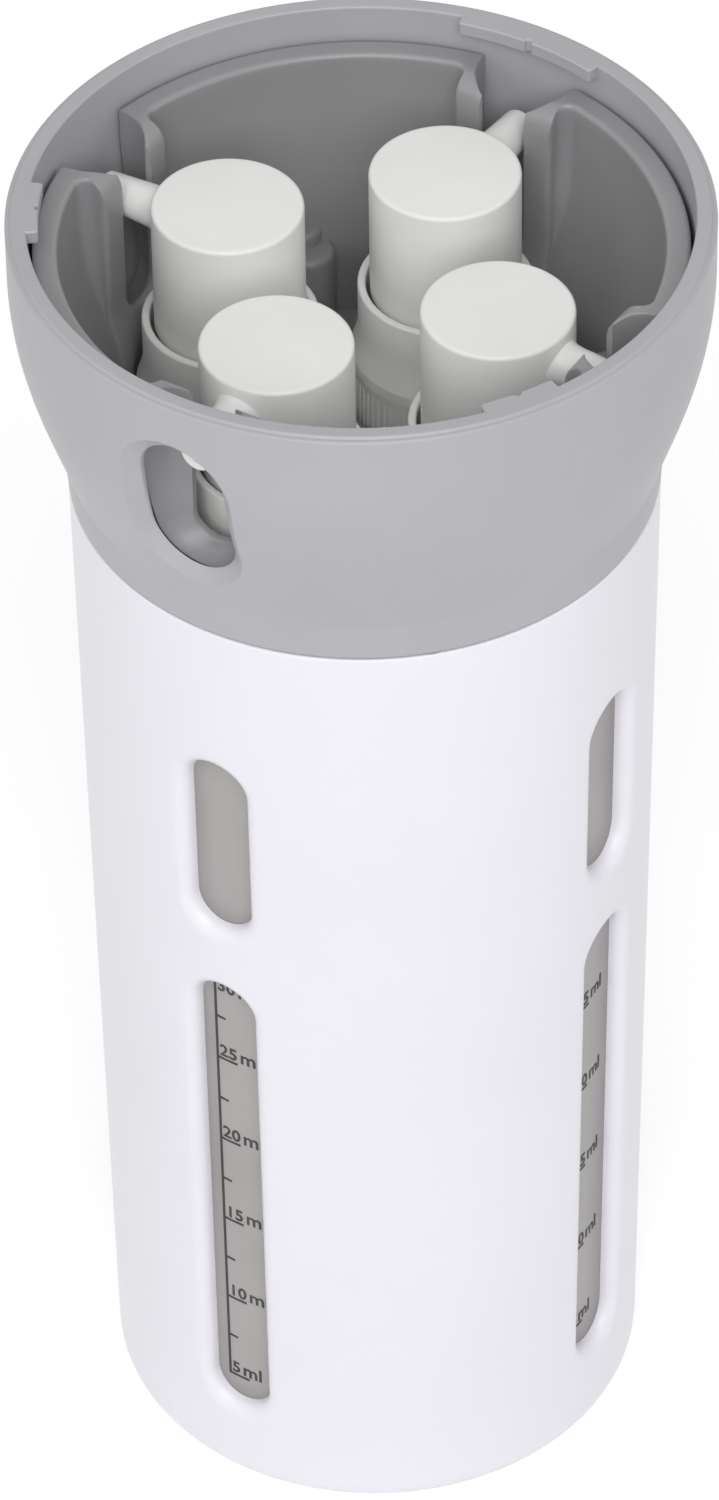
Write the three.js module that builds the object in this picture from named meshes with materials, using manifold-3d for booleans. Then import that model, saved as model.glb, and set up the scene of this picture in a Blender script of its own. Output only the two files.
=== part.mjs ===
// Travel liquid dispenser: a white sleeve that holds four refillable quarter bottles, each with its own
// lotion pump, and a grey collar that turns on top so that its one outlet faces the pump in use.
// Millimetres, +Z up. The origin is the middle of the base, and the collar's outlet faces -Y.
import * as THREE from 'three';
import { mergeVertices } from 'three/addons/utils/BufferGeometryUtils.js';
import Module from 'manifold-3d';

const wasm = await Module();
wasm.setup();

// Clearances
const SEAT_GAP = 0.3; // between a piece and what it rests on
const RUN_GAP = 0.3; // between a sliding or turning piece and its guide
const CUT_OVERRUN = 1; // how far a cutting shape passes the wall that it cuts

// Sleeve
const BODY_HEIGHT = 126.5; // base to the seam under the collar
const BODY_TOP_RADIUS = 30.75;
const BODY_BASE_RADIUS = 29.25;
const BODY_WALL = 1.95;
const BODY_FLOOR = 1.6;
const BASE_ROUND = 2.5;
const NECK_STEP = 1.45; // how far the neck is set in from the sleeve's outside
const NECK_WALL = 1.1;
const NECK_HEIGHT = 6;
const NECK_ROOT = 4; // thick ring below the seam that carries the neck
const BEAD_DEPTH = 0.45; // snap bead round the neck
const BEAD_HEIGHT = 1.2;

// Windows, sized at the inner face of the sleeve
const WINDOW_WIDTH = 7;
const WINDOW_BEVEL = 1.85; // how much wider each edge is at the outer face
const BEVEL_KNEE = { spread: 0.23, depth: 0.36 }; // shares at the bend in the rounded bevel
const UPPER_WINDOW_DROP = 19.1; // seam to the top of the upper window
const UPPER_WINDOW_HEIGHT = 23.4;
const WINDOW_BRIDGE = 8.5; // between the two windows
const LOWER_WINDOW_BASE = 10.7; // base to the bottom of the lower window

// Collar
const COLLAR_HEIGHT = 33.2; // lower edge to rim
const COLLAR_RADIUS = 36.05;
const COLLAR_WALL = 2.2;
const SKIRT_HEIGHT = 4.2; // band below the flare
const SKIRT_OVERHANG = 0.3; // how far the band stands out over the sleeve
const RIM_HEIGHT = 7; // upright wall above the flare
const RIM_ROUND = 0.6;
const RIB_HEIGHT = 1.4; // inner rib that snaps under the bead
const LUG_DEPTH = 1.2;
const LUG_HEIGHT = 1.6;
const LUG_NOTCH = 0.4;
const WIDE_LUG_ANGLE = 28; // degrees
const NARROW_LUG_ANGLE = 14;
const OUTLET_WIDTH = 9.8;
const OUTLET_HEIGHT = 17.3;
const OUTLET_DROP = 15.25; // rim to the middle of the outlet
const DISH_WIDTH = 1.65; // dished border round the outlet
const DISH_DEPTH = 1.7;

// The flare's two inner control points, as shares of its width and height
const FLARE_LOW = [0.3, 0.27];
const FLARE_HIGH = [0.97, 0.57];
const FLARE_STEPS = 5;

// Nozzle guide, the fixed liner inside the collar
const GUIDE_GAP = 0.5; // to the turning collar
const GUIDE_WALL = 2.6;
const GUIDE_FLOOR = 1.8;
const GUIDE_SINK = 7.8; // how far the floor's top lies below its seat on the neck
const GUIDE_DROP = 1.9; // lugs to the liner's top
const PLUG_WALL = 1.3; // between a cap hole and the plug's outside
const FLOOR_WEB = 2.1; // between two cap holes
const TROUGH_SET = 0.75; // trough axis inside the liner's outer face
const TROUGH_WALL = 1.7;
const TROUGH_FLOOR = 10.5; // above the liner's floor
const TROUGH_ROUND = 0.8; // round at the trough's foot, as a share of its radius
const TROUGH_SLOPE = 0.45; // fall of the trough's top edge towards the middle
const NOTCH_WIDTH = 5.6;
const NOTCH_REACH = 5.1; // notch bottom below the pressed nozzle
const PAD_RADIUS = 3.2;
const PAD_HEIGHT = 9.5;
const PAD_STEP_RADIUS = 2.1;
const PAD_STEP_HEIGHT = 1.5;

// Bottles
const BOTTLE_WALL = 1.1;
const BOTTLE_DRAFT_GAP = 0.2; // extra play at the bottle's foot
const BOTTLE_SIDE_GAP = 0.6; // from each bottle's flat side to the plane between two bottles
const BOTTLE_SHOULDER_DROP = 14.5; // seam to the bottle's shoulder
const BOTTLE_CORNER = 4.5;
const BOTTLE_ROUND = 1.5;
const BOTTLE_NECK_HEIGHT = 12.2;
const BOTTLE_NECK_WALL = 1.6;

// Pumps
const CAP_WALL = 1.35;
const CAP_HOLE_GAP = 0.4; // cap to the hole in the liner's floor
const CAP_FOOT_GAP = 1.5; // bottle's shoulder to the cap
const CAP_LIP = 1.1; // inner lip that clamps the pump's flange
const CAP_CEILING = 1.5;
const CAP_CHAMBER = 4.4; // from the lip up to the ceiling
const CONE_HEIGHT = 3.6;
const CONE_STEP = 0.8; // from the skirt in to the shroud
const SHROUD_HEIGHT = 4.6; // upright ring above the cone
const SHROUD_WALL = 0.85;
const SHROUD_DEPTH = 6.3; // well that the head slides down
const SHROUD_LAP = 1; // how far the head stands in the shroud at rest
const STROKE = 5;
const HEAD_GAP = 0.45; // head to the shroud
const HEAD_HEIGHT = 15.3;
const HEAD_WALL = 1.2;
const HEAD_ROOF = 2.2;
const HEAD_ROUND = 0.5;
const NOZZLE_DROP = 3.9; // head's top to the nozzle's axis
const NOZZLE_ROOT_RADIUS = 2.15;
const NOZZLE_TIP_RADIUS = 1.9;
const NOZZLE_BLEND = 0.7; // extra radius where the nozzle leaves the head
const NOZZLE_BLEND_LENGTH = 2.2;
const NOZZLE_BORE_RADIUS = 0.75;
const NOZZLE_TIP_GAP = 2.6; // tip to the collar's inner wall
const STEM_RADIUS = 2;
const STEM_BORE_RADIUS = 1.1;
const SOCKET_WALL = 1.1; // sleeve inside the head that holds the stem
const SOCKET_DEPTH = 5.6;
const GASKET_THICKNESS = 1;
const FLANGE_THICKNESS = 1.5;
const BARREL_RADIUS = 5;
const BARREL_WALL = 0.8;
const BARREL_DEPTH = 20; // flange to the spring's ledge
const PISTON_DROP = 4; // flange's underside to the piston's top
const PISTON_HEIGHT = 4;
const PISTON_GAP = 0.22;
const BALL_RADIUS = 1.6;
const BALL_ROOM = 0.7;
const SEAT_BORE_RADIUS = 1;
const SEAT_THROAT = 1.8;
const DIP_TUBE_RADIUS = 1.9;
const DIP_TUBE_WALL = 0.7;
const DIP_SOCKET_DEPTH = 5.5;
const DIP_SOCKET_WALL = 0.9;
const DIP_TUBE_LIFT = 1.5; // tube's end above the bottle's inner floor
const SPRING_TURNS = 5;
const SPRING_WIRE_RADIUS = 0.3;

// Facet counts
const LARGE_SIDES = 40;
const CAP_SIDES = 18;
const SMALL_SIDES = 12;
const ARC_STEPS = 3;
const ROUND_STEPS = 3; // half of the steps round half a circle
const SPRING_STEPS = 8; // per turn
const SPRING_SIDES = 5;

// Worked out: radii about the main axis, and the caps that they leave room for
const neckOuter = BODY_TOP_RADIUS - NECK_STEP;
const neckInner = neckOuter - NECK_WALL;
const beadRadius = neckOuter + BEAD_DEPTH;
const skirtOuter = BODY_TOP_RADIUS + SKIRT_OVERHANG;
const skirtInner = beadRadius + RUN_GAP;
const ribInner = neckOuter + BEAD_DEPTH / 2;
const collarInner = COLLAR_RADIUS - COLLAR_WALL;
const plugRadius = neckInner - SEAT_GAP;
const capHole = (plugRadius - PLUG_WALL - FLOOR_WEB / Math.SQRT2) / (1 + Math.SQRT2);
const pumpCircle = plugRadius - PLUG_WALL - capHole;
const guideTopRadius = collarInner - GUIDE_GAP;
const troughCentre = guideTopRadius - TROUGH_SET;
const capRadius = capHole - CAP_HOLE_GAP;
const shroudOuter = capRadius - CONE_STEP;
const troughOuter = troughCentre - pumpCircle - shroudOuter - SEAT_GAP;
const troughRadius = troughOuter - TROUGH_WALL;
const bottleTopRadius = neckInner - RUN_GAP;
const bottleBaseRadius = BODY_BASE_RADIUS - BODY_WALL - RUN_GAP - BOTTLE_DRAFT_GAP;

// Worked out: heights above the base
const neckTop = BODY_HEIGHT + NECK_HEIGHT;
const collarBottom = BODY_HEIGHT + SEAT_GAP;
const ribTop = collarBottom + RIB_HEIGHT;
const beadBottom = ribTop + RUN_GAP;
const skirtTop = collarBottom + SKIRT_HEIGHT;
const rimTop = collarBottom + COLLAR_HEIGHT;
const flareTop = rimTop - RIM_HEIGHT;
const lugBottom = rimTop - LUG_HEIGHT;
const guideSeat = neckTop + SEAT_GAP;
const guideTop = lugBottom - GUIDE_DROP;
const guideFloorTop = guideSeat - GUIDE_SINK;
const guideFloorBottom = guideFloorTop - GUIDE_FLOOR;
const bottleBottom = BODY_FLOOR + SEAT_GAP;
const bottleShoulder = BODY_HEIGHT - BOTTLE_SHOULDER_DROP;
const bottleNeckTop = bottleShoulder + BOTTLE_NECK_HEIGHT;
const gasketBottom = bottleNeckTop + SEAT_GAP;
const flangeBottom = gasketBottom + GASKET_THICKNESS + SEAT_GAP;
const flangeTop = flangeBottom + FLANGE_THICKNESS;
const capLipBottom = flangeTop + SEAT_GAP;
const capCeilingBottom = capLipBottom + CAP_CHAMBER;
const wellFloor = capCeilingBottom + CAP_CEILING;
const shroudTop = wellFloor + SHROUD_DEPTH;
const capSkirtTop = shroudTop - SHROUD_HEIGHT - CONE_HEIGHT;
const headBottom = shroudTop - SHROUD_LAP;
const headTop = headBottom + HEAD_HEIGHT;
const nozzleHeight = headTop - NOZZLE_DROP;
const socketTop = nozzleHeight + NOZZLE_BORE_RADIUS / 2;
const stemTop = nozzleHeight - NOZZLE_BORE_RADIUS - SEAT_GAP;
const springLedge = flangeBottom - BARREL_DEPTH;
const pistonTop = flangeBottom - PISTON_DROP;
const pistonBottom = pistonTop - PISTON_HEIGHT;
const ballChamber = BALL_RADIUS + BALL_ROOM;
const coneBottom = springLedge - 2 * BALL_RADIUS - BALL_ROOM;
const throatBottom = coneBottom - SEAT_THROAT;

// Worked out: radii about a pump's axis
const shroudInner = shroudOuter - SHROUD_WALL;
const headRadius = shroudInner - HEAD_GAP;
const capBore = capRadius - CAP_WALL;
const bottleNeckRadius = capBore - RUN_GAP;
const bottleNeckBore = bottleNeckRadius - BOTTLE_NECK_WALL;
const barrelBore = BARREL_RADIUS - BARREL_WALL;
const pistonRadius = barrelBore - PISTON_GAP;
const socketBore = STEM_RADIUS + RUN_GAP;
const dipSocketBore = DIP_TUBE_RADIUS + SEAT_GAP;
const springRadius = (ballChamber + barrelBore) / 2;
const nozzleReach = collarInner - NOZZLE_TIP_GAP - pumpCircle;

const STATIONS = ['front', 'right', 'back', 'left'];
const stationAngle = (index) => (index - 1) * Math.PI / 2;
const radians = THREE.MathUtils.degToRad;
const point = (r, z) => new THREE.Vector2(r, z);

// Finishes
const finish = (color, roughness) => new THREE.MeshStandardMaterial({ color, roughness, metalness: 0 });
const WHITE_SHELL = finish(0xf0f0f4, 0.35);
const WHITE_PUMP = finish(0xe6e6e4, 0.3);
const GREY_PLASTIC = finish(0xb9b9bd, 0.4);
const SMOKED_PLASTIC = finish(0xa6a19c, 0.25);
const CLEAR_PLASTIC = finish(0xdfe3e6, 0.2);
const SEAL = finish(0xd8d8d0, 0.7);
const STEEL = new THREE.MeshStandardMaterial({ color: 0xb8bcc0, roughness: 0.3, metalness: 1 });

// Closed meshes

function signedVolume(position, index) {
  const corner = index.map((i) => new THREE.Vector3().fromBufferAttribute(position, i));
  let sum = 0;
  for (let i = 0; i < corner.length; i += 3) {
    sum += corner[i].dot(corner[i + 1].clone().cross(corner[i + 2]));
  }
  return sum / 6;
}

// Welds shared points, drops triangles without area and turns the faces outwards.
function closed(geometry) {
  geometry.deleteAttribute('normal');
  geometry.deleteAttribute('uv');
  const welded = mergeVertices(geometry);
  const all = Array.from(welded.index.array);
  const kept = [];
  for (let i = 0; i < all.length; i += 3) {
    const triangle = all.slice(i, i + 3);
    if (new Set(triangle).size === 3) {
      kept.push(...triangle);
    }
  }
  if (signedVolume(welded.attributes.position, kept) < 0) {
    kept.reverse();
  }
  welded.setIndex(kept);
  return welded;
}

function solid(geometry) {
  const vertProperties = new Float32Array(geometry.attributes.position.array);
  const triVerts = new Uint32Array(geometry.index.array);
  return new wasm.Manifold(new wasm.Mesh({ numProp: 3, vertProperties, triVerts }));
}

function surface(manifold) {
  const { vertProperties, triVerts } = manifold.getMesh();
  const geometry = new THREE.BufferGeometry();
  geometry.setAttribute('position', new THREE.BufferAttribute(vertProperties, 3));
  geometry.setIndex(new THREE.BufferAttribute(triVerts, 1));
  return geometry;
}

const join = (first, ...others) => surface(others.reduce((all, g) => all.add(solid(g)), solid(first)));
const cut = (first, ...tools) => surface(tools.reduce((left, g) => left.subtract(solid(g)), solid(first)));
const common = (first, second) => surface(solid(first).intersect(solid(second)));

// A profile of (radius, height) points turned about Z. One that starts off the axis is closed on itself.
function turned(profile, sides) {
  const outline = profile[0].x > 0 ? [...profile, profile[0].clone()] : profile;
  const geometry = new THREE.LatheGeometry(outline, sides);
  return closed(geometry.rotateX(Math.PI / 2));
}

const tube = (outer, inner, bottom, top, sides) => turned(
  [point(inner, bottom), point(outer, bottom), point(outer, top), point(inner, top)],
  sides,
);

const rod = (radius, bottom, top, sides) => turned(
  [point(0, bottom), point(radius, bottom), point(radius, top), point(0, top)],
  sides,
);

// A round bar along +X at the nozzle's height.
function bar(fromX, fromRadius, toX, toRadius) {
  const geometry = new THREE.CylinderGeometry(toRadius, fromRadius, toX - fromX, SMALL_SIDES);
  geometry.rotateZ(-Math.PI / 2);
  geometry.translate((fromX + toX) / 2, 0, nozzleHeight);
  return closed(geometry);
}

// A skin over rings that have the same number of points, with flat convex ends.
function loft(rings) {
  const sides = rings[0].length;
  const last = (rings.length - 1) * sides;
  const index = [];
  for (let start = 0; start < last; start += sides) {
    for (let i = 0; i < sides; i += 1) {
      const a = start + i;
      const b = start + (i + 1) % sides;
      index.push(a, b, a + sides, b, b + sides, a + sides);
    }
  }
  for (let i = 1; i + 1 < sides; i += 1) {
    index.push(0, i + 1, i, last, last + i, last + i + 1);
  }
  const geometry = new THREE.BufferGeometry();
  const xyz = rings.flat().flatMap((p) => [p.x, p.y, p.z]);
  geometry.setAttribute('position', new THREE.Float32BufferAttribute(xyz, 3));
  geometry.setIndex(index);
  return closed(geometry);
}

function arc(centreR, centreZ, radius, from, to) {
  const angles = [radians(from), radians(to), to < from];
  return new THREE.EllipseCurve(centreR, centreZ, radius, radius, ...angles).getPoints(ARC_STEPS);
}

// The bowl-shaped flare between two (radius, height) points.
function flare(low, high) {
  const between = ([r, z]) => point(low.x + r * (high.x - low.x), low.y + z * (high.y - low.y));
  const curve = new THREE.CubicBezierCurve(low, between(FLARE_LOW), between(FLARE_HIGH), high);
  return curve.getPoints(FLARE_STEPS);
}

const turnedTo = (geometry, angle) => geometry.rotateZ(angle);

// Sleeve

const bodyRadius = (z) => THREE.MathUtils.lerp(BODY_BASE_RADIUS, BODY_TOP_RADIUS, z / BODY_HEIGHT);

// An upright slot with round ends across +X, at a depth below a round wall whose outer radius depends on the
// height, and wider all round by a given spread.
function slotRing(wallRadius, width, bottom, top, depth, spread) {
  const radius = width / 2 + spread;
  const slot = new THREE.Path();
  slot.absarc(0, top - width / 2, radius, 0, Math.PI);
  slot.absarc(0, bottom + width / 2, radius, Math.PI, 2 * Math.PI);
  const reach = (y, z) => Math.sqrt((wallRadius(z) - depth) ** 2 - y ** 2);
  return slot.getPoints(ROUND_STEPS).slice(0, -1).map((p) => new THREE.Vector3(reach(p.x, p.y), p.x, p.y));
}

// A window in the sleeve's wall that widens outwards in a rounded bevel.
function windowCutter(bottom, top) {
  const ring = (depth, spread) => slotRing(bodyRadius, WINDOW_WIDTH, bottom, top, depth, spread);
  const kneeDepth = BODY_WALL * BEVEL_KNEE.depth;
  const kneeSpread = WINDOW_BEVEL * BEVEL_KNEE.spread;
  const slope = (WINDOW_BEVEL - kneeSpread) / kneeDepth;
  return loft([
    ring(BODY_WALL + CUT_OVERRUN, 0),
    ring(BODY_WALL, 0),
    ring(kneeDepth, kneeSpread),
    ring(-CUT_OVERRUN, WINDOW_BEVEL + slope * CUT_OVERRUN),
  ]);
}

function sleeve() {
  const innerRoot = BODY_HEIGHT - NECK_ROOT;
  const ledge = bodyRadius(innerRoot) - BODY_WALL - neckInner;
  const shell = turned([
    point(0, 0),
    ...arc(bodyRadius(0) - BASE_ROUND, BASE_ROUND, BASE_ROUND, -90, 0),
    point(BODY_TOP_RADIUS, BODY_HEIGHT),
    point(neckOuter, BODY_HEIGHT),
    point(neckOuter, beadBottom),
    point(beadRadius, beadBottom + BEAD_DEPTH),
    point(neckOuter, beadBottom + BEAD_HEIGHT),
    point(neckOuter, neckTop),
    point(neckInner, neckTop),
    point(neckInner, innerRoot),
    point(neckInner + ledge, innerRoot - ledge),
    point(bodyRadius(BODY_FLOOR) - BODY_WALL, BODY_FLOOR),
    point(0, BODY_FLOOR),
  ], LARGE_SIDES);
  const upperTop = BODY_HEIGHT - UPPER_WINDOW_DROP;
  const upperBottom = upperTop - UPPER_WINDOW_HEIGHT;
  const lowerTop = upperBottom - WINDOW_BRIDGE;
  const cutters = STATIONS.flatMap((_, index) => [
    turnedTo(windowCutter(upperBottom, upperTop), stationAngle(index)),
    turnedTo(windowCutter(LOWER_WINDOW_BASE, lowerTop), stationAngle(index)),
  ]);
  return cut(shell, ...cutters);
}

// Collar

// An inward lug of the lid's bayonet, centred on an angle, with a small notch in its middle.
function lug(centre, span) {
  const inner = collarInner - LUG_DEPTH;
  const outer = collarInner + COLLAR_WALL / 2;
  const half = radians(span) / 2;
  const outline = new THREE.Shape();
  outline.absarc(0, 0, outer, -half, half);
  outline.absarc(0, 0, inner, half, -half, true);
  const steps = { depth: LUG_HEIGHT, bevelEnabled: false, curveSegments: ROUND_STEPS };
  const block = new THREE.ExtrudeGeometry(outline, steps);
  const notch = rod(LUG_NOTCH, -CUT_OVERRUN, LUG_HEIGHT + CUT_OVERRUN, SMALL_SIDES).translate(inner, 0, 0);
  return turnedTo(cut(closed(block), notch).translate(0, 0, lugBottom), radians(centre));
}

const outerFlare = flare(point(skirtOuter, skirtTop), point(COLLAR_RADIUS, flareTop));

// The collar's outer radius at a height.
function collarRadius(z) {
  const above = outerFlare.findIndex((p) => p.y > z);
  if (above < 0) {
    return COLLAR_RADIUS;
  }
  if (above === 0) {
    return skirtOuter;
  }
  const low = outerFlare[above - 1];
  const high = outerFlare[above];
  return THREE.MathUtils.mapLinear(z, low.y, high.y, low.x, high.x);
}

// The outlet lying across +X, with a dished border that follows the collar's outside.
function outletCutter() {
  const top = rimTop - OUTLET_DROP + OUTLET_HEIGHT / 2;
  const bottom = top - OUTLET_HEIGHT;
  const ring = (depth, spread) => slotRing(collarRadius, OUTLET_WIDTH, bottom, top, depth, spread);
  return loft([
    ring(COLLAR_WALL + CUT_OVERRUN, 0),
    ring(DISH_DEPTH, 0),
    ring(-DISH_DEPTH / 2, DISH_WIDTH * 1.5),
    ring(-COLLAR_WALL, DISH_WIDTH * 1.5),
  ]);
}

function collar() {
  const innerFlare = flare(point(skirtInner, skirtTop + RUN_GAP), point(collarInner, flareTop));
  const bowl = turned([
    point(ribInner, collarBottom),
    point(BODY_TOP_RADIUS, collarBottom),
    ...outerFlare,
    ...arc(COLLAR_RADIUS - RIM_ROUND, rimTop - RIM_ROUND, RIM_ROUND, 0, 90),
    point(collarInner, rimTop),
    ...innerFlare.reverse(),
    point(skirtInner, ribTop + RUN_GAP),
    point(ribInner, ribTop),
  ], LARGE_SIDES);
  const lugs = [lug(90, WIDE_LUG_ANGLE), lug(210, NARROW_LUG_ANGLE), lug(330, NARROW_LUG_ANGLE)];
  return cut(join(bowl, ...lugs), turnedTo(outletCutter(), stationAngle(0)));
}

// Nozzle guide

const guideFlare = () => flare(point(skirtInner - GUIDE_GAP, guideSeat), point(guideTopRadius, flareTop));

function guideShell() {
  const inner = guideFlare().reverse().map((p) => point(p.x - GUIDE_WALL, p.y));
  return turned([
    point(0, guideFloorBottom),
    point(plugRadius, guideFloorBottom),
    point(plugRadius, guideSeat),
    ...guideFlare(),
    point(guideTopRadius, guideTop),
    point(guideTopRadius - GUIDE_WALL, guideTop),
    ...inner,
    point(plugRadius - PLUG_WALL + CAP_HOLE_GAP, guideFloorTop),
    point(0, guideFloorTop),
  ], LARGE_SIDES);
}

// The space inside the liner, out to the middle of its wall, that the troughs and pads may fill.
function guideInside() {
  const middle = guideFlare().map((p) => point(p.x - GUIDE_WALL / 2, p.y));
  const bottom = guideFloorTop - GUIDE_FLOOR / 2;
  return turned([
    point(0, bottom),
    point(plugRadius - PLUG_WALL / 2, bottom),
    point(plugRadius - PLUG_WALL / 2, guideSeat),
    ...middle,
    point(guideTopRadius - GUIDE_WALL / 2, guideTop),
    point(0, guideTop),
  ], LARGE_SIDES);
}

// The upright trough that faces the collar in front of a nozzle, lying across +X.
function troughBlock() {
  return rod(troughOuter, guideFloorBottom, guideTop, CAP_SIDES).translate(troughCentre, 0, 0);
}

function troughCutters() {
  const top = guideTop + CUT_OVERRUN;
  const floor = guideFloorTop + TROUGH_FLOOR;
  const round = TROUGH_ROUND * troughRadius;
  const gutter = turned([
    point(0, floor),
    ...arc(troughRadius - round, floor + round, round, -90, 0),
    point(troughRadius, top),
    point(0, top),
  ], CAP_SIDES);
  gutter.translate(troughCentre, 0, 0);
  const inner = troughCentre - troughOuter - CUT_OVERRUN;
  const low = guideTop - TROUGH_SLOPE * (guideTopRadius - inner);
  const wedge = new THREE.Shape([
    point(inner, low),
    point(guideTopRadius, guideTop),
    point(guideTopRadius, top),
    point(inner, top),
  ]);
  const slope = new THREE.ExtrudeGeometry(wedge, { depth: 2 * troughOuter, bevelEnabled: false });
  slope.rotateX(Math.PI / 2).translate(0, troughOuter, 0);
  const notchBottom = nozzleHeight - STROKE - NOZZLE_ROOT_RADIUS - NOTCH_REACH;
  const notch = new THREE.Shape();
  notch.moveTo(NOTCH_WIDTH / 2, top);
  notch.lineTo(-NOTCH_WIDTH / 2, top);
  notch.absarc(0, notchBottom + NOTCH_WIDTH / 2, NOTCH_WIDTH / 2, Math.PI, 2 * Math.PI);
  const through = { depth: troughCentre - inner, bevelEnabled: false, curveSegments: ROUND_STEPS };
  const slot = new THREE.ExtrudeGeometry(notch, through);
  slot.rotateX(Math.PI / 2).rotateZ(Math.PI / 2).translate(inner, 0, 0);
  return [gutter, closed(slope), closed(slot)];
}

// A stepped pad low on the liner's inner face, lying across +X.
function pad() {
  const base = guideFloorTop - GUIDE_FLOOR / 2;
  const top = guideFloorTop + PAD_HEIGHT;
  const seat = plugRadius - PLUG_WALL;
  return join(
    rod(PAD_RADIUS, base, top, SMALL_SIDES).translate(seat, 0, 0),
    rod(PAD_STEP_RADIUS, base, top + PAD_STEP_HEIGHT, SMALL_SIDES).translate(seat + PAD_STEP_RADIUS, 0, 0),
  );
}

function nozzleGuide() {
  const angles = STATIONS.map((_, index) => stationAngle(index));
  const blocks = angles.map((angle) => turnedTo(troughBlock(), angle));
  const pads = angles.map((angle) => turnedTo(pad(), angle + Math.PI / 4));
  const inside = common(join(...blocks, ...pads), guideInside());
  const stationCutters = () => {
    const hole = turned([
      point(0, guideFloorBottom - CUT_OVERRUN),
      point(capHole, guideFloorBottom - CUT_OVERRUN),
      point(capHole, capSkirtTop + CAP_HOLE_GAP),
      point(shroudOuter, capSkirtTop + CONE_HEIGHT + CAP_HOLE_GAP),
      point(0, capSkirtTop + CONE_HEIGHT + CAP_HOLE_GAP),
    ], CAP_SIDES);
    return [...troughCutters(), hole.translate(pumpCircle, 0, 0)];
  };
  const cutters = angles.flatMap((angle) => stationCutters().map((cutter) => turnedTo(cutter, angle)));
  return cut(join(guideShell(), inside), ...cutters);
}

// Bottles

// A quarter round with rounded corners, set in by a given amount.
function quarter(radius, inset, z) {
  const corner = BOTTLE_CORNER - inset;
  const gap = BOTTLE_SIDE_GAP + inset;
  const outer = radius - inset;
  const reach = Math.PI / 4 - Math.asin(gap / outer);
  const bend = corner / outer;
  const onArc = (angle) => point(outer * Math.cos(angle), outer * Math.sin(angle));
  const side = (distance, sign) => {
    const along = distance / Math.SQRT2;
    return point(gap * Math.SQRT2 + along, sign * along);
  };
  const flank = onArc(reach).y * Math.SQRT2 - corner;
  const round = (from, middle, to) => new THREE.QuadraticBezierCurve(from, middle, to).getPoints(ARC_STEPS);
  const outline = [
    ...round(side(flank, -1), onArc(-reach), onArc(-reach + bend)),
    onArc(-reach / 2),
    onArc(0),
    onArc(reach / 2),
    ...round(onArc(reach - bend), onArc(reach), side(flank, 1)),
    ...round(side(corner, 1), side(0, 1), side(corner, -1)),
  ];
  return outline.map((p) => new THREE.Vector3(p.x, p.y, z));
}

function bottle() {
  const body = loft([
    quarter(bottleBaseRadius, BOTTLE_ROUND, bottleBottom),
    quarter(bottleBaseRadius, 0, bottleBottom + BOTTLE_ROUND),
    quarter(bottleTopRadius, 0, bottleShoulder - BOTTLE_ROUND),
    quarter(bottleTopRadius, BOTTLE_ROUND, bottleShoulder),
  ]);
  const hollow = loft([
    quarter(bottleBaseRadius, BOTTLE_WALL, bottleBottom + BOTTLE_WALL),
    quarter(bottleTopRadius, BOTTLE_WALL, bottleShoulder - BOTTLE_ROUND),
    quarter(bottleTopRadius, BOTTLE_WALL + BOTTLE_ROUND, bottleShoulder - BOTTLE_WALL),
  ]);
  const overlap = BOTTLE_WALL / 2;
  const boreBottom = bottleShoulder - BOTTLE_WALL - BOTTLE_ROUND;
  const neck = rod(bottleNeckRadius, bottleShoulder - overlap, bottleNeckTop, CAP_SIDES);
  const bore = rod(bottleNeckBore, boreBottom, bottleNeckTop + CUT_OVERRUN, CAP_SIDES);
  neck.translate(pumpCircle, 0, 0);
  bore.translate(pumpCircle, 0, 0);
  return cut(join(body, neck), hollow, bore);
}

// Pump pieces, about the pump's own axis with the nozzle along +X

function screwCap() {
  const hub = socketBore + CAP_CEILING;
  return turned([
    point(capBore, bottleShoulder + CAP_FOOT_GAP),
    point(capRadius, bottleShoulder + CAP_FOOT_GAP),
    point(capRadius, capSkirtTop),
    point(shroudOuter, capSkirtTop + CONE_HEIGHT),
    point(shroudOuter, shroudTop),
    point(shroudInner, shroudTop),
    point(shroudInner, wellFloor),
    point(socketBore, wellFloor),
    point(socketBore, capCeilingBottom - CAP_CEILING),
    point(hub, capCeilingBottom - CAP_CEILING),
    point(hub, capCeilingBottom),
    point(capBore - CAP_LIP, capCeilingBottom),
    point(capBore - CAP_LIP, capLipBottom),
    point(capBore, capLipBottom),
  ], CAP_SIDES);
}

function pumpHousing() {
  const flangeRadius = bottleNeckRadius - RUN_GAP / 2;
  const socketOuter = dipSocketBore + DIP_SOCKET_WALL;
  const coneTop = coneBottom + ballChamber - SEAT_BORE_RADIUS;
  return turned([
    point(barrelBore, flangeTop),
    point(barrelBore, springLedge),
    point(ballChamber, springLedge),
    point(ballChamber, coneTop),
    point(SEAT_BORE_RADIUS, coneBottom),
    point(SEAT_BORE_RADIUS, throatBottom),
    point(dipSocketBore, throatBottom),
    point(dipSocketBore, throatBottom - DIP_SOCKET_DEPTH),
    point(socketOuter, throatBottom - DIP_SOCKET_DEPTH),
    point(socketOuter, throatBottom),
    point(BARREL_RADIUS, coneTop),
    point(BARREL_RADIUS, flangeBottom),
    point(flangeRadius, flangeBottom),
    point(flangeRadius, flangeTop),
  ], SMALL_SIDES);
}

function checkBall() {
  const contact = BALL_RADIUS * Math.SQRT1_2;
  const rise = contact - SEAT_BORE_RADIUS + contact;
  const centre = coneBottom + rise + SEAT_GAP;
  return closed(new THREE.IcosahedronGeometry(BALL_RADIUS, 1).translate(0, 0, centre));
}

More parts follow.
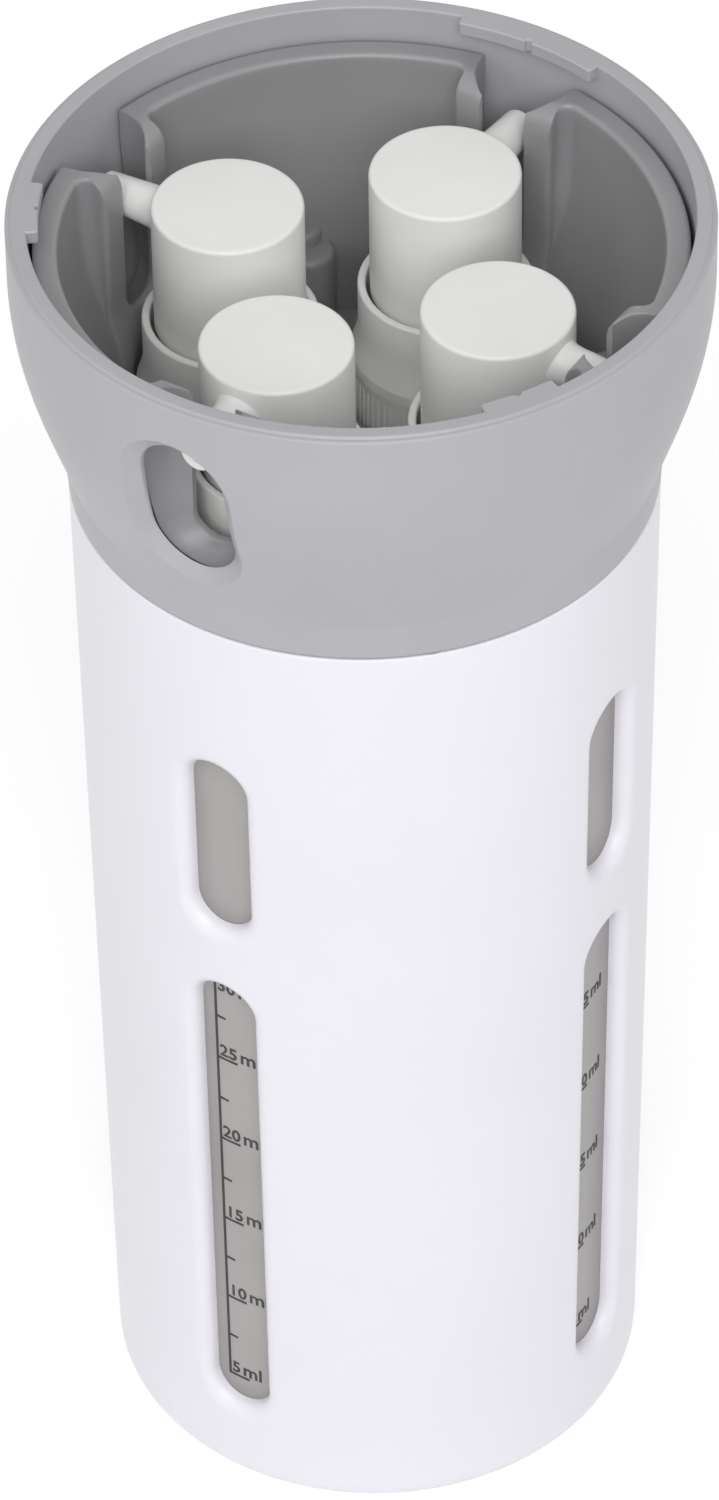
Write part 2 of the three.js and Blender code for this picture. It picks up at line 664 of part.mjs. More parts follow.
// One unbroken helical wire, with the least distance between its neighbouring turns printed.
function spring() {
  const bottom = springLedge + SEAT_GAP + SPRING_WIRE_RADIUS;
  const top = pistonBottom - SEAT_GAP - SPRING_WIRE_RADIUS;
  const steps = SPRING_TURNS * SPRING_STEPS;
  const centre = (step) => {
    const angle = 2 * Math.PI * step / SPRING_STEPS;
    const height = THREE.MathUtils.lerp(bottom, top, step / steps);
    return new THREE.Vector3(springRadius * Math.cos(angle), springRadius * Math.sin(angle), height);
  };
  const centres = Array.from({ length: steps + 1 }, (_, step) => centre(step));
  const ring = (middle) => {
    const outward = new THREE.Vector3(middle.x, middle.y, 0).normalize();
    return Array.from({ length: SPRING_SIDES }, (_, side) => {
      const turn = 2 * Math.PI * side / SPRING_SIDES;
      const place = middle.clone().addScaledVector(outward, SPRING_WIRE_RADIUS * Math.cos(turn));
      place.z += SPRING_WIRE_RADIUS * Math.sin(turn);
      return place;
    });
  };
  const gaps = centres.flatMap((a, i) => centres.slice(i + SPRING_STEPS / 2).map((b) => a.distanceTo(b)));
  const least = Math.min(...gaps) - 2 * SPRING_WIRE_RADIUS;
  return { geometry: loft(centres.map(ring)), least };
}

function pumpStem() {
  return tube(STEM_RADIUS, STEM_BORE_RADIUS, pistonBottom, stemTop, SMALL_SIDES);
}

function pumpPiston() {
  const lip = PISTON_HEIGHT / 4;
  return turned([
    point(socketBore, pistonBottom),
    point(pistonRadius, pistonBottom),
    point(pistonRadius, pistonBottom + lip),
    point(pistonRadius - BARREL_WALL, pistonBottom + 2 * lip),
    point(pistonRadius, pistonTop - lip),
    point(pistonRadius, pistonTop),
    point(socketBore, pistonTop),
  ], SMALL_SIDES);
}

function pumpHead() {
  const roof = headTop - HEAD_ROOF;
  const socketOuter = socketBore + SOCKET_WALL;
  const socketBottom = socketTop - SOCKET_DEPTH;
  const button = turned([
    point(0, headTop),
    ...arc(headRadius - HEAD_ROUND, headTop - HEAD_ROUND, HEAD_ROUND, 90, 0),
    point(headRadius, headBottom),
    point(headRadius - HEAD_WALL, headBottom),
    point(headRadius - HEAD_WALL, roof),
    point(socketOuter, roof),
    point(socketOuter, socketBottom),
    point(socketBore, socketBottom),
    point(socketBore, socketTop),
    point(0, socketTop),
  ], CAP_SIDES);
  const wallMiddle = headRadius - HEAD_WALL / 2;
  const blendEnd = headRadius + NOZZLE_BLEND_LENGTH;
  const blendRadius = NOZZLE_ROOT_RADIUS + NOZZLE_BLEND;
  const web = bar(socketBore + SOCKET_WALL / 2, NOZZLE_ROOT_RADIUS, wallMiddle, NOZZLE_ROOT_RADIUS);
  const blend = bar(wallMiddle, blendRadius, blendEnd, NOZZLE_ROOT_RADIUS);
  const nozzle = bar(wallMiddle, NOZZLE_ROOT_RADIUS, nozzleReach, NOZZLE_TIP_RADIUS);
  const bore = bar(0, NOZZLE_BORE_RADIUS, nozzleReach + CUT_OVERRUN, NOZZLE_BORE_RADIUS);
  return cut(join(button, web, blend, nozzle), bore);
}

function gasket() {
  const top = gasketBottom + GASKET_THICKNESS;
  return tube(bottleNeckRadius, bottleNeckBore, gasketBottom, top, SMALL_SIDES);
}

function dipTube() {
  const bottom = bottleBottom + BOTTLE_WALL + DIP_TUBE_LIFT;
  const top = throatBottom - SEAT_GAP;
  return tube(DIP_TUBE_RADIUS, DIP_TUBE_RADIUS - DIP_TUBE_WALL, bottom, top, SMALL_SIDES);
}

// Assembly

function named(name, geometry, material) {
  const mesh = new THREE.Mesh(geometry, material);
  mesh.name = name;
  return mesh;
}

const dispenser = new THREE.Group();
dispenser.add(named('outer_sleeve', sleeve(), WHITE_SHELL));
dispenser.add(named('selector_collar', collar(), GREY_PLASTIC));
dispenser.add(named('nozzle_guide', nozzleGuide(), GREY_PLASTIC));

const returnSpring = spring();
console.log(`return spring, least gap between turns: ${returnSpring.least.toFixed(2)} mm`);

STATIONS.forEach((station, index) => {
  const place = new THREE.Group();
  place.rotation.z = stationAngle(index);
  place.add(named(`bottle_${station}`, bottle(), SMOKED_PLASTIC));
  const pump = new THREE.Group();
  pump.position.x = pumpCircle;
  pump.add(named(`screw_cap_${station}`, screwCap(), WHITE_PUMP));
  pump.add(named(`gasket_${station}`, gasket(), SEAL));
  pump.add(named(`pump_housing_${station}`, pumpHousing(), CLEAR_PLASTIC));
  pump.add(named(`check_ball_${station}`, checkBall(), STEEL));
  pump.add(named(`return_spring_${station}`, returnSpring.geometry, STEEL));
  pump.add(named(`dip_tube_${station}`, dipTube(), CLEAR_PLASTIC));
  pump.add(named(`pump_piston_${station}`, pumpPiston(), SEAL));
  pump.add(named(`pump_stem_${station}`, pumpStem(), WHITE_PUMP));
  pump.add(named(`pump_head_${station}`, pumpHead(), WHITE_PUMP));
  place.add(pump);
  dispenser.add(place);
});

export default dispenser;
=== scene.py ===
# %% [markdown]
# # Travel liquid dispenser
# A white sleeve holds four smoky quarter bottles, each with its own lotion pump. A grey collar on top turns,
# so that its one outlet faces the pump in use. This lesson dresses the imported CAD model, piece by piece.
# The frame comes first: it brings the CAD solids, all in metres, and the other imported objects are removed.

# %% Load the imported frame
from functools import partial
from math import asin, atan2, ceil, cos, exp, hypot, pi, radians, sin, sqrt, tan

import bmesh
import bpy
import numpy as np
from mathutils import Matrix, Vector


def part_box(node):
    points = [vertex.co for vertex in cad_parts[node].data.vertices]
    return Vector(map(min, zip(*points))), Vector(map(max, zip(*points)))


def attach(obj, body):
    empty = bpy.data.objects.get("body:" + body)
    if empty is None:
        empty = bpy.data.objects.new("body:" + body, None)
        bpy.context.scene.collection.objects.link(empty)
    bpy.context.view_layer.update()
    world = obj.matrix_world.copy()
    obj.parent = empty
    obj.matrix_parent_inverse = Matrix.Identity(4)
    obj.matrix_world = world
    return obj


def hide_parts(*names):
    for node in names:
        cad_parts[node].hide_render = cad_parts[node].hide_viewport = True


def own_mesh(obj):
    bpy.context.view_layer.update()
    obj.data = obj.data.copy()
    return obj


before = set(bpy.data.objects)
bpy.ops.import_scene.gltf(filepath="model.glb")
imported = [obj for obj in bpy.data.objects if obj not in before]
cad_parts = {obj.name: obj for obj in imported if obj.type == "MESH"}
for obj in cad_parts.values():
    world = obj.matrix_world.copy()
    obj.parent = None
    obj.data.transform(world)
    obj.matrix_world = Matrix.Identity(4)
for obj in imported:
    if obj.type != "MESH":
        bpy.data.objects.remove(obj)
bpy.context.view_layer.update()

# %% [markdown]
# Sizes are easiest to read in millimetres, so every shape below is written in them and shrunk to metres once.
# The four stations, where the bottles and pumps stand, lie a quarter turn apart.

# %% Units and stations
MM = 0.001
STATIONS = {"front": -90.0, "right": 0.0, "back": 90.0, "left": 180.0}
PUMP_CIRCLE = 16.2  # main axis to a pump's axis


def turned_about(points, degrees):
    """Points turned about the main axis."""
    c, s = cos(radians(degrees)), sin(radians(degrees))
    x, y, z = np.asarray(points, float).T
    return np.stack([c * x - s * y, s * x + c * y, z], axis=1)


def polar(radius, angle):
    """A point in plan, from its radius and its angle about the main axis."""
    return np.array([radius * cos(angle), radius * sin(angle)])


def at_station(points, station):
    """Points of a pump piece, moved out from the main axis and turned to a station."""
    return turned_about(np.asarray(points, float) + [PUMP_CIRCLE, 0, 0], STATIONS[station])


print("stations:", STATIONS)

# %% [markdown]
# A mesh is a list of points and a list of faces. This helper welds doubled points, turns the faces outwards
# and shades the piece smooth, but keeps a crease wherever two faces meet at a steep angle.

# %% Make a mesh piece
def stand(name, data):
    """A new object in the scene."""
    thing = bpy.data.objects.new(name, data)
    bpy.context.scene.collection.objects.link(thing)
    return thing


def shade(piece, crease):
    """Smooth shading with creases above an angle in degrees."""
    piece.data.shade_smooth()
    piece.data.set_sharp_from_angle(angle=radians(crease))


def settle(piece, crease=38):
    """Welds, faces outwards and shades a piece."""
    work = bmesh.new()
    work.from_mesh(piece.data)
    bmesh.ops.remove_doubles(work, verts=work.verts, dist=2e-7)
    bmesh.ops.dissolve_degenerate(work, edges=work.edges, dist=1e-7)
    bmesh.ops.recalc_face_normals(work, faces=work.faces)
    work.to_mesh(piece.data)
    work.free()
    shade(piece, crease)
    return piece


def new_piece(name, points, faces, crease=38):
    """An object from points in millimetres."""
    mesh = bpy.data.meshes.new(name)
    mesh.from_pydata((np.asarray(points, float) * MM).tolist(), [], faces)
    return settle(stand(name, mesh), crease)


def tell(what, piece):
    """Prints how many faces a piece has."""
    print(f"{what}: {len(piece.data.polygons)} faces")


print("helpers: stand, shade, settle, new_piece, tell")

# %% [markdown]
# Moulded parts have no knife edges. An outline is therefore written as corners with a radius each, and this
# helper swaps every corner for a short curve. Turning the outline about an axis then gives a turned piece.

# %% Soft outlines and turned pieces
def soften(corners, steps=5):
    """A closed outline from (across, up, radius) corners."""
    outline = []
    for i, (r, z, radius) in enumerate(corners):
        here = Vector((r, z))
        if radius == 0:
            outline.append((r, z))
            continue
        back = (Vector(corners[i - 1][:2]) - here).normalized()
        ahead = (Vector(corners[(i + 1) % len(corners)][:2]) - here).normalized()
        trim = radius / tan(back.angle(ahead) / 2)
        for k in range(steps + 1):
            t = k / steps
            p = here + back * trim * (1 - t) ** 2 + ahead * trim * t ** 2
            outline.append((p.x, p.y))
    return outline


def swept_faces(count, n):
    """Faces from each closed loop of n points to the next, and from the last loop to the first."""
    faces = []
    for i in range(count):
        a, b = i * n, (i + 1) % count * n
        faces += [(a + k, b + k, b + (k + 1) % n, a + (k + 1) % n) for k in range(n)]
    return faces


def turned_mesh(outline, sides):
    """Points and faces of a closed outline turned about Z."""
    rim = np.asarray(outline, float)
    angles = np.linspace(0, 2 * pi, sides, endpoint=False)
    points = [(r * cos(a), r * sin(a), z) for a in angles for r, z in rim]
    n, on_axis = len(rim), rim[:, 0] < 1e-9
    faces = [f for f in swept_faces(sides, n) if not (on_axis[f[0] % n] and on_axis[f[2] % n])]
    return np.array(points), faces


def turned_piece(name, outline, sides, station):
    """A turned piece on the pump axis of a station."""
    points, faces = turned_mesh(outline, sides)
    return new_piece(name, at_station(points, station), faces)


def between(low, high, step):
    """Levels from low up to high, no further apart than step."""
    return np.linspace(low, high, max(2, ceil((high - low) / step) + 1))


print("a soft square has", len(soften([(0, 0, 1), (9, 0, 1), (9, 9, 1), (0, 9, 1)])), "points")

# %% [markdown]
# Slots are cut with Boolean modifiers. The cutter flares like a trumpet and follows the round wall, so the
# cut leaves a soft border instead of a sharp edge.

# %% Trumpet cutters
def ring_faces(count, n):
    """Faces between rings of n points, from each ring to the next."""
    return [(k * n + i, k * n + (i + 1) % n, (k + 1) * n + (i + 1) % n, (k + 1) * n + i)
            for k in range(count - 1) for i in range(n)]


def loft_mesh(rings):
    """Points and faces of a skin over rings, closed at both ends by fans."""
    n = len(rings[0])
    points = [tuple(p) for ring in rings for p in ring]
    faces = ring_faces(len(rings), n)
    for start in (0, (len(rings) - 1) * n):
        middle = len(points)
        points.append(tuple(np.mean(points[start:start + n], axis=0)))
        faces += [(start + i, start + (i + 1) % n, middle) for i in range(n)]
    return points, faces


def slot_cutter(width, bottom, top, wall, flare, steps=20):
    """A cutter across +X: wall(z) is the outer radius, flare the (spread, depth) pairs from inside out."""
    turns = np.concatenate([np.linspace(0, pi, steps), np.linspace(pi, 2 * pi, steps)])
    rings = []
    for spread, depth in flare:
        radius = width / 2 + spread
        ring = []
        for k, a in enumerate(turns):
            middle = top - width / 2 if k < steps else bottom + width / 2
            ring.append((radius * cos(a), middle + radius * sin(a)))
        closer = []  # with more points along the straight sides
        for (y, z), (_, after) in zip(ring, ring[1:] + ring[:1]):
            closer.append((y, z))
            if abs(after - z) > 3:
                closer += [(y, level) for level in np.linspace(z, after, ceil(abs(after - z) / 2) + 1)[1:-1]]
        rings.append([(sqrt((wall(z) - depth) ** 2 - y * y), y, z) for y, z in closer])
    return loft_mesh(rings)


print("helpers: ring_faces, loft_mesh, slot_cutter")

# %% [markdown]
# A modifier only shows its result, so it is baked into a plain mesh. Weighted normals then keep the big walls
# evenly shaded, because each point takes its shading mostly from the largest faces that meet there.

# %% Carve and shade
def final_mesh(thing):
    """A plain mesh of what an object's modifiers, or its curves, make of it."""
    graph = bpy.context.evaluated_depsgraph_get()
    return bpy.data.meshes.new_from_object(thing.evaluated_get(graph), depsgraph=graph)


def baked(piece):
    """Swaps a piece's mesh for its final one."""
    mesh = final_mesh(piece)
    piece.modifiers.clear()
    piece.data = mesh
    return piece


def carve(piece, tools, operation="DIFFERENCE"):
    """Cuts or joins tools with a piece and removes them."""
    for tool in tools:
        step = piece.modifiers.new("carve", "BOOLEAN")
        step.operation = operation
        step.solver = "EXACT"
        step.object = tool
    baked(piece)
    for tool in tools:
        bpy.data.objects.remove(tool)
    return piece


def even_shading(piece, crease=30):
    """Shades a carved piece by its largest faces."""
    settle(piece, crease)
    step = piece.modifiers.new("even shading", "WEIGHTED_NORMAL")
    step.weight = 60
    step.keep_sharp = True
    return baked(piece)


print("helpers: final_mesh, baked, carve, even_shading")

# %% [markdown]
# ## Finishes
# Every plastic here is moulded: a nearly even colour with faint clouds from the flow of the melt, and a fine
# grain from the mould. One node group makes both, so each finish only says how strong and how large they are.

# %% Node group: moulded plastic
def new_tree(name, kind, inputs, outputs):
    """A node tree with (name, kind, value) rows as its inputs and outputs, and the sockets of its input node."""
    tree = bpy.data.node_groups.new(name, kind)
    for way, rows in (("INPUT", inputs), ("OUTPUT", outputs)):
        for label, sort, *value in rows:
            made = tree.interface.new_socket(name=label, in_out=way, socket_type=f"NodeSocket{sort}")
            if value:
                made.default_value = value[0]
    return tree, tree.nodes.new("NodeGroupInput").outputs


def feed(tree, slot, value):
    """Links a socket to another one or to a node's first output, or gives it a plain value."""
    if isinstance(value, bpy.types.Node):
        value = value.outputs[0]
    if isinstance(value, bpy.types.NodeSocket):
        tree.links.new(value, slot)
    else:
        slot.default_value = value


def add_node(tree, kind, values):
    """A node with links or plain values on its named inputs."""
    node = tree.nodes.new(kind)
    for name, value in values.items():
        feed(tree, node.inputs[name], value)
    return node


def mix_colours(tree, factor, a, b):
    """A colour between two others."""
    node = tree.nodes.new("ShaderNodeMix")
    node.data_type = "RGBA"
    for name, value in (("Factor", factor), ("A", a), ("B", b)):
        feed(tree, node.inputs[name], value)
    return node.outputs["Result"]


moulded, given = new_tree("Moulded plastic", "ShaderNodeTree", [
    ("Place", "Vector"), ("Colour", "Color", (0.8, 0.8, 0.8, 1)), ("Cloud colour", "Color", (0.7, 0.7, 0.7, 1)),
    ("Clouds per metre", "Float", 60.0), ("Grains per metre", "Float", 2500.0),
    ("Least roughness", "Float", 0.3), ("Most roughness", "Float", 0.4),
], [("Colour", "Color"), ("Roughness", "Float"), ("Grain", "Float")])
clouds = add_node(moulded, "ShaderNodeTexNoise", {
    "Vector": given["Place"], "Scale": given["Clouds per metre"], "Detail": 3})
grain = add_node(moulded, "ShaderNodeTexNoise", {
    "Vector": given["Place"], "Scale": given["Grains per metre"], "Detail": 2})
soft_clouds = add_node(moulded, "ShaderNodeMapRange", {"Value": clouds, "From Min": 0.3, "From Max": 0.7})
sheen = add_node(moulded, "ShaderNodeMapRange", {
    "Value": grain, "To Min": given["Least roughness"], "To Max": given["Most roughness"]})
blend = mix_colours(moulded, soft_clouds, given["Colour"], given["Cloud colour"])
add_node(moulded, "NodeGroupOutput", {"Colour": blend, "Roughness": sheen, "Grain": grain})
print("node group:", moulded.name, "with", len(moulded.nodes), "nodes")

# %% [markdown]
# The finishes use that group with their own values. The sleeve and pumps are glossy white, the collar and its
# liner a satin grey, the bottles smoky. The bump stays tiny: the grain is felt more than it is seen.

# %% Plastic finishes
def paint(*screen):
    """A screen colour, 0 to 255, as Blender's linear colour."""
    shares = [value / 255 for value in screen]
    return (*[s / 12.92 if s <= 0.04045 else ((s + 0.055) / 1.055) ** 2.4 for s in shares], 1.0)


def moulded_skin(tree, place, colour, cloud, rough, clouds, grains):
    """The node group in a material, linked to the shader's colour and roughness."""
    skin = tree.nodes.new("ShaderNodeGroup")
    skin.node_tree = moulded
    values = {"Place": place, "Colour": paint(*colour), "Cloud colour": paint(*cloud), "Clouds per metre": clouds,
              "Grains per metre": grains, "Least roughness": rough[0], "Most roughness": rough[1]}
    for name, value in values.items():
        feed(tree, skin.inputs[name], value)
    shader = tree.nodes["Principled BSDF"]
    feed(tree, shader.inputs["Base Color"], skin.outputs["Colour"])
    feed(tree, shader.inputs["Roughness"], skin.outputs["Roughness"])
    return skin


def plastic(name, colour, cloud, rough, clouds=60, depth=0.004):
    """A moulded plastic: two colours, a range of roughness, and the depth of its grain in millimetres."""
    finish = bpy.data.materials.new(name)
    finish.use_nodes = True
    tree = finish.node_tree
    place = tree.nodes.new("ShaderNodeTexCoord").outputs["Object"]
    skin = moulded_skin(tree, place, colour, cloud, rough, clouds, grains=2500)
    bump = add_node(tree, "ShaderNodeBump", {
        "Strength": 0.6, "Distance": depth * MM, "Height": skin.outputs["Grain"]})
    feed(tree, tree.nodes["Principled BSDF"].inputs["Normal"], bump)
    return finish


SHELL_WHITE = (241, 240, 246)
FINISH = {
    "shell_white": plastic("gloss white sleeve", SHELL_WHITE, (238, 237, 243), (0.28, 0.36), clouds=35, depth=0.002),
    "collar_grey": plastic("satin grey collar", (181, 180, 184), (177, 176, 180), (0.36, 0.48), depth=0.006),
    "guide_grey": plastic("satin grey liner", (154, 154, 156), (148, 148, 150), (0.3, 0.4)),
    "smoked_plastic": plastic("smoky bottle", (171, 167, 166), (165, 161, 160), (0.26, 0.34), clouds=90, depth=0.001),
    "pump_white": plastic("white pump plastic", (243, 243, 241), (239, 239, 236), (0.36, 0.44),
                          clouds=110, depth=0.001),
    "clear_plastic": plastic("milky natural plastic", (224, 228, 230), (212, 218, 222), (0.22, 0.34), clouds=150),
    "seal": plastic("soft seal", (216, 216, 208), (206, 206, 198), (0.6, 0.75), clouds=200, depth=0.012),
    "scale_print": plastic("dark scale print", (50, 47, 46), (58, 55, 53), (0.45, 0.6), clouds=400, depth=0.002),
}
print("finishes:", ", ".join(m.name for m in FINISH.values()))

# %% [markdown]
# The faces inside the sleeve carry a mark, an attribute, and where the finish reads that mark it gives them a faint
# painted glow. This is painted light that lifts the shade on the bottles behind the windows. It stands in for the
# light that a white wall two millimetres thick lets through.

# %% Painted glow inside the sleeve
tree = FINISH["shell_white"].node_tree
shader = tree.nodes["Principled BSDF"]
painted_glow_mask = tree.nodes.new("ShaderNodeAttribute")
painted_glow_mask.attribute_name = "inside"
# Painted light: the marked faces glow white, which lifts the shade on the bottles behind the windows.
glow = mix_colours(tree, painted_glow_mask.outputs["Fac"], (0, 0, 0, 1), paint(*SHELL_WHITE))
feed(tree, shader.inputs["Emission Color"], glow)
shader.inputs["Emission Strength"].default_value = 0.4
print("glow on the faces marked", painted_glow_mask.attribute_name)

# %% [markdown]
# The springs and balls are steel. A drawn wire carries fine lines, so its roughness follows a noise that is
# stretched along Z, and the metal itself stays plain on the shader.

# %% Steel finish
steel = bpy.data.materials.new("drawn steel")
steel.use_nodes = True
tree = steel.node_tree
tree.nodes["Principled BSDF"].inputs["Metallic"].default_value = 1.0
place = tree.nodes.new("ShaderNodeTexCoord").outputs["Object"]
stretch = add_node(tree, "ShaderNodeMapping", {"Vector": place, "Scale": (1, 1, 0.15)})
moulded_skin(tree, stretch, (188, 192, 196), (172, 176, 180), (0.18, 0.34), clouds=400, grains=6000)
FINISH["steel"] = steel
print("finish:", steel.name)

# %% [markdown]
# A finished piece needs three things: a finish, the body that it moves with, and the CAD solids that it stands
# for. One helper gives it all three.

# %% Dress a piece
def dress(piece, finish, body, *nodes):
    """Gives a piece its finish and body, and lets it stand for CAD nodes."""
    piece.data.materials.clear()
    piece.data.materials.append(FINISH[finish])
    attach(piece, body)
    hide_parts(*nodes)


print("helper: dress, with", len(FINISH), "finishes to choose from")

# %% [markdown]
# ## The sleeve
# One white cup with a flat base, a rounded base edge and a little draft, so that it leaves its mould. Its neck
# hides inside the collar. The wall is cut into low rings, so that a later cut only touches the faces near it.

# %% Sleeve cup
SEAM = 126.5
SEAM_RADIUS, BASE_RADIUS, BODY_WALL = 30.75, 29.25, 1.95


def body_radius(z):
    """The sleeve's outer radius at a height."""
    return BASE_RADIUS + (SEAM_RADIUS - BASE_RADIUS) * z / SEAM


outside = [(body_radius(z), z) for z in between(4, SEAM - 0.4, 4)]
inside = [(body_radius(z) - BODY_WALL, z) for z in between(3, 121.95, 4)[::-1]]
base = soften([(0, 0, 0), (body_radius(0), 0, 2.5), (body_radius(4), 4, 0)], 8)
seam = soften([(body_radius(120), 120, 0), (SEAM_RADIUS, SEAM, 0.25), (29.3, SEAM, 0), (29.3, 120, 0)], 4)[1:-2]
neck = [(29.3, SEAM), (29.3, 128.5), (29.75, 128.95), (29.3, 129.7), (29.3, 132.2), (29.1, 132.5), (28.4, 132.5)]
neck += [(28.2, 132.2), (28.2, 122.5)]
cup = base[:-1] + outside + seam + neck + inside + [(27.1, 1.6), (0, 1.6)]
sleeve = new_piece("sleeve_shell", *turned_mesh(cup, 192))
tell("cup", sleeve)

# %% [markdown]
# Eight windows with a broad soft border show the bottles: one short and one long at each station. The border is
# a quarter of an ellipse, so it runs into the straight wall of the opening without an edge.

# %% Sleeve windows
WINDOW_WIDTH = 7.0
BORDER_WIDTH, BORDER_DEPTH = 1.85, 1.75
turns = np.linspace(pi / 2, 0.3, 8)
border = [(BORDER_WIDTH * (1 - sin(t)), BORDER_DEPTH * (1 - cos(t))) for t in turns]
window_mouth = [(0, 4.0)] + border + [(BORDER_WIDTH, -0.03), (BORDER_WIDTH + 0.6, -0.7)]
windows = []
for station, angle in STATIONS.items():
    for bottom, top in ((84.0, 107.4), (10.7, 75.5)):
        points, faces = slot_cutter(WINDOW_WIDTH, bottom, top, body_radius, window_mouth)
        windows.append(new_piece(f"window_{station}", turned_about(points, angle), faces))
carve(sleeve, windows)
even_shading(sleeve)
# Faces that look towards the axis get the mark for the painted glow, which lifts the shade inside the sleeve.
painted_glow_mask = sleeve.data.attributes.new("inside", "FLOAT", "FACE")
for face, value in zip(sleeve.data.polygons, painted_glow_mask.data):
    out = (face.center.x * face.normal.x + face.center.y * face.normal.y) / max(1e-6, face.center.xy.length)
    value.value = 1.0 if out < -0.9 else 0.0
dress(sleeve, "shell_white", "base", "outer_sleeve")
tell(f"sleeve with {len(windows)} windows", sleeve)

# %% [markdown]
# ## The collar
# A bowl that flares from the sleeve's width to a wide upright rim. The flare is a Bezier curve with the same
# control points as the CAD solid. A small step runs along the rim's outer edge, where the light draws two lines.

# %% Collar bowl
def flare_curve(low, high, steps=28):
    """The bowl's curve between two (radius, height) points."""
    low, high = np.array(low), np.array(high)
    first, second = low + (high - low) * [0.3, 0.27], low + (high - low) * [0.97, 0.57]
    t = np.linspace(0, 1, steps + 1)[:, None]
    return (1 - t) ** 3 * low + 3 * (1 - t) ** 2 * t * first + 3 * (1 - t) * t ** 2 * second + t ** 3 * high


def radius_at(curve, z):
    """The radius of a flare at a height."""
    return float(np.interp(z, curve[:, 1], curve[:, 0]))


RIM, RIM_RADIUS, RIM_STEP = 160.0, 36.05, 0.28
bowl_outside = flare_curve((31.05, 131.0), (RIM_RADIUS, 153.0))
bowl_inside = flare_curve((30.05, 131.3), (33.85, 153.0))
foot = soften([(29.525, 128.2, 0), (29.525, 126.8, 0.2), (30.77, 126.8, 0.25), (31.05, 131.0, 0)], 4)[1:-1]
rim = soften([(RIM_RADIUS, 153.5, 0), (RIM_RADIUS, RIM - RIM_STEP, 0.4), (35.56, RIM - RIM_STEP, 0.03),
              (35.4, RIM, 0.2), (33.9, RIM, 0.3), (33.85, 153.5, 0)], 5)
outline = foot + [tuple(p) for p in bowl_outside] + rim + [tuple(p) for p in bowl_inside[::-1]]
outline += [(30.05, 128.6), (29.525, 128.2)]
collar = new_piece("collar_bowl", *turned_mesh(outline, 224))
tell("collar bowl", collar)

# %% [markdown]
# Three lugs inside the rim take the lid's bayonet. A lug is a short curved block, flush with the rim, with a small
# half-round notch in the middle of its edge. Its outline is drawn in plan, pulled up and joined to the bowl.

# %% Lugs
def prism(name, plan, bottom, top, edge=0.15):
    """A block over a plan outline with a small bevel along its upper and lower edges."""
    plan = np.asarray(plan, float)
    ahead = np.roll(plan, -1, axis=0) - np.roll(plan, 1, axis=0)
    inward = np.stack([-ahead[:, 1], ahead[:, 0]], axis=1)
    inward /= np.linalg.norm(inward, axis=1)[:, None]
    n = len(plan)
    points = []
    for z, inset in ((bottom, edge), (bottom + edge, 0), (top - edge, 0), (top, edge)):
        points += [(x, y, z) for x, y in plan + inward * inset]
    faces = [tuple(range(n)), tuple(range(3 * n, 4 * n))] + ring_faces(4, n)
    return new_piece(name, points, faces)


LUG_EDGE, LUG_BACK, LUG_FOOT = 32.65, 34.6, 158.4
LUG_NOTCH, LUG_ROUND = 0.4, 0.35
lugs = []
for name, centre, span in (("wide", 90, 28), ("left", 210, 14), ("right", 330, 14)):
    half = radians(span / 2)
    bite, bend = LUG_NOTCH / LUG_EDGE, LUG_ROUND / LUG_EDGE
    corner = [(LUG_EDGE + LUG_ROUND * (1 - sin(t)), half - bend * (1 - cos(t)))
              for t in np.linspace(0, pi / 2, 6)]
    flank = corner + [(LUG_EDGE, a) for a in np.linspace(half - bend, bite, 12)[1:]]
    notch = [(LUG_EDGE + LUG_NOTCH * sin(t), bite * cos(t)) for t in np.linspace(0.3, pi - 0.3, 8)]
    edge = flank + notch + [(r, -a) for r, a in flank[::-1]] + [(LUG_BACK, a) for a in np.linspace(-half, half, 14)]
    turn = radians(centre)
    plan = [polar(r, a + turn) for r, a in edge]
    lugs.append(prism(f"lug_{name}", plan, LUG_FOOT, RIM - 0.02))
carve(collar, lugs, "UNION")
tell(f"bowl with {len(lugs)} lugs", collar)

# %% [markdown]
# The outlet is cut with a trumpet cutter that follows the flare, which gives its dished border: a short straight
# wall, a wide sloping border and a soft edge to the bowl.

# %% Outlet
OUTLET_WIDTH, OUTLET_BOTTOM, OUTLET_TOP = 9.8, 136.1, 153.4
outlet_mouth = [(0, 5.0), (0, 1.75), (0.05, 1.6), (0.16, 1.46), (1.52, 0.13), (1.63, 0.04), (1.75, -0.03),
                (2.6, -1.4)]
points, faces = slot_cutter(OUTLET_WIDTH, OUTLET_BOTTOM, OUTLET_TOP, partial(radius_at, bowl_outside), outlet_mouth, 28)
carve(collar, [new_piece("outlet_cutter", turned_about(points, STATIONS["front"]), faces)])
even_shading(collar)
dress(collar, "collar_grey", "collar", "selector_collar")
tell("collar", collar)

# %% [markdown]
# ## The liner
# The fixed liner has four curved panels. Beside each station its wall turns inwards and becomes a cheek, and the
# two cheeks bound a round trough with a notch that the nozzle rides down in. Such a wall is best swept: its two
# sides are followed in plan, from the trough's middle, along the cheek and round the corner to the panel, and
# every step gives one closed loop. The outside comes first: the flare, with the trough let into it.

# %% Liner outside
LINER_FOOT, FLARE_FOOT, LINER_TOP = 123.2, 132.8, 156.1
TROUGH_AXIS, TROUGH_RADIUS = 32.6, 5.35
TROUGH_FOOT, TROUGH_BEND = 135.2, 4.0  # lowest point of the trough, and the rounding there
liner_outside = flare_curve((29.8, FLARE_FOOT), (33.4, 153.0))


def outer_side(angle, limit, z):
    """A point on the outside: the panel's flare, or the trough where that lies nearer to the axis."""
    r = min(limit, radius_at(liner_outside, z))
    rise = min(TROUGH_BEND, z - TROUGH_FOOT)
    across = TROUGH_AXIS * sin(angle)
    if rise > 0:
        radius = TROUGH_RADIUS - TROUGH_BEND + sqrt(TROUGH_BEND ** 2 - (TROUGH_BEND - rise) ** 2)
        if across < radius:
            r = min(r, TROUGH_AXIS * cos(angle) - sqrt(radius ** 2 - across ** 2))
    return polar(r, angle)


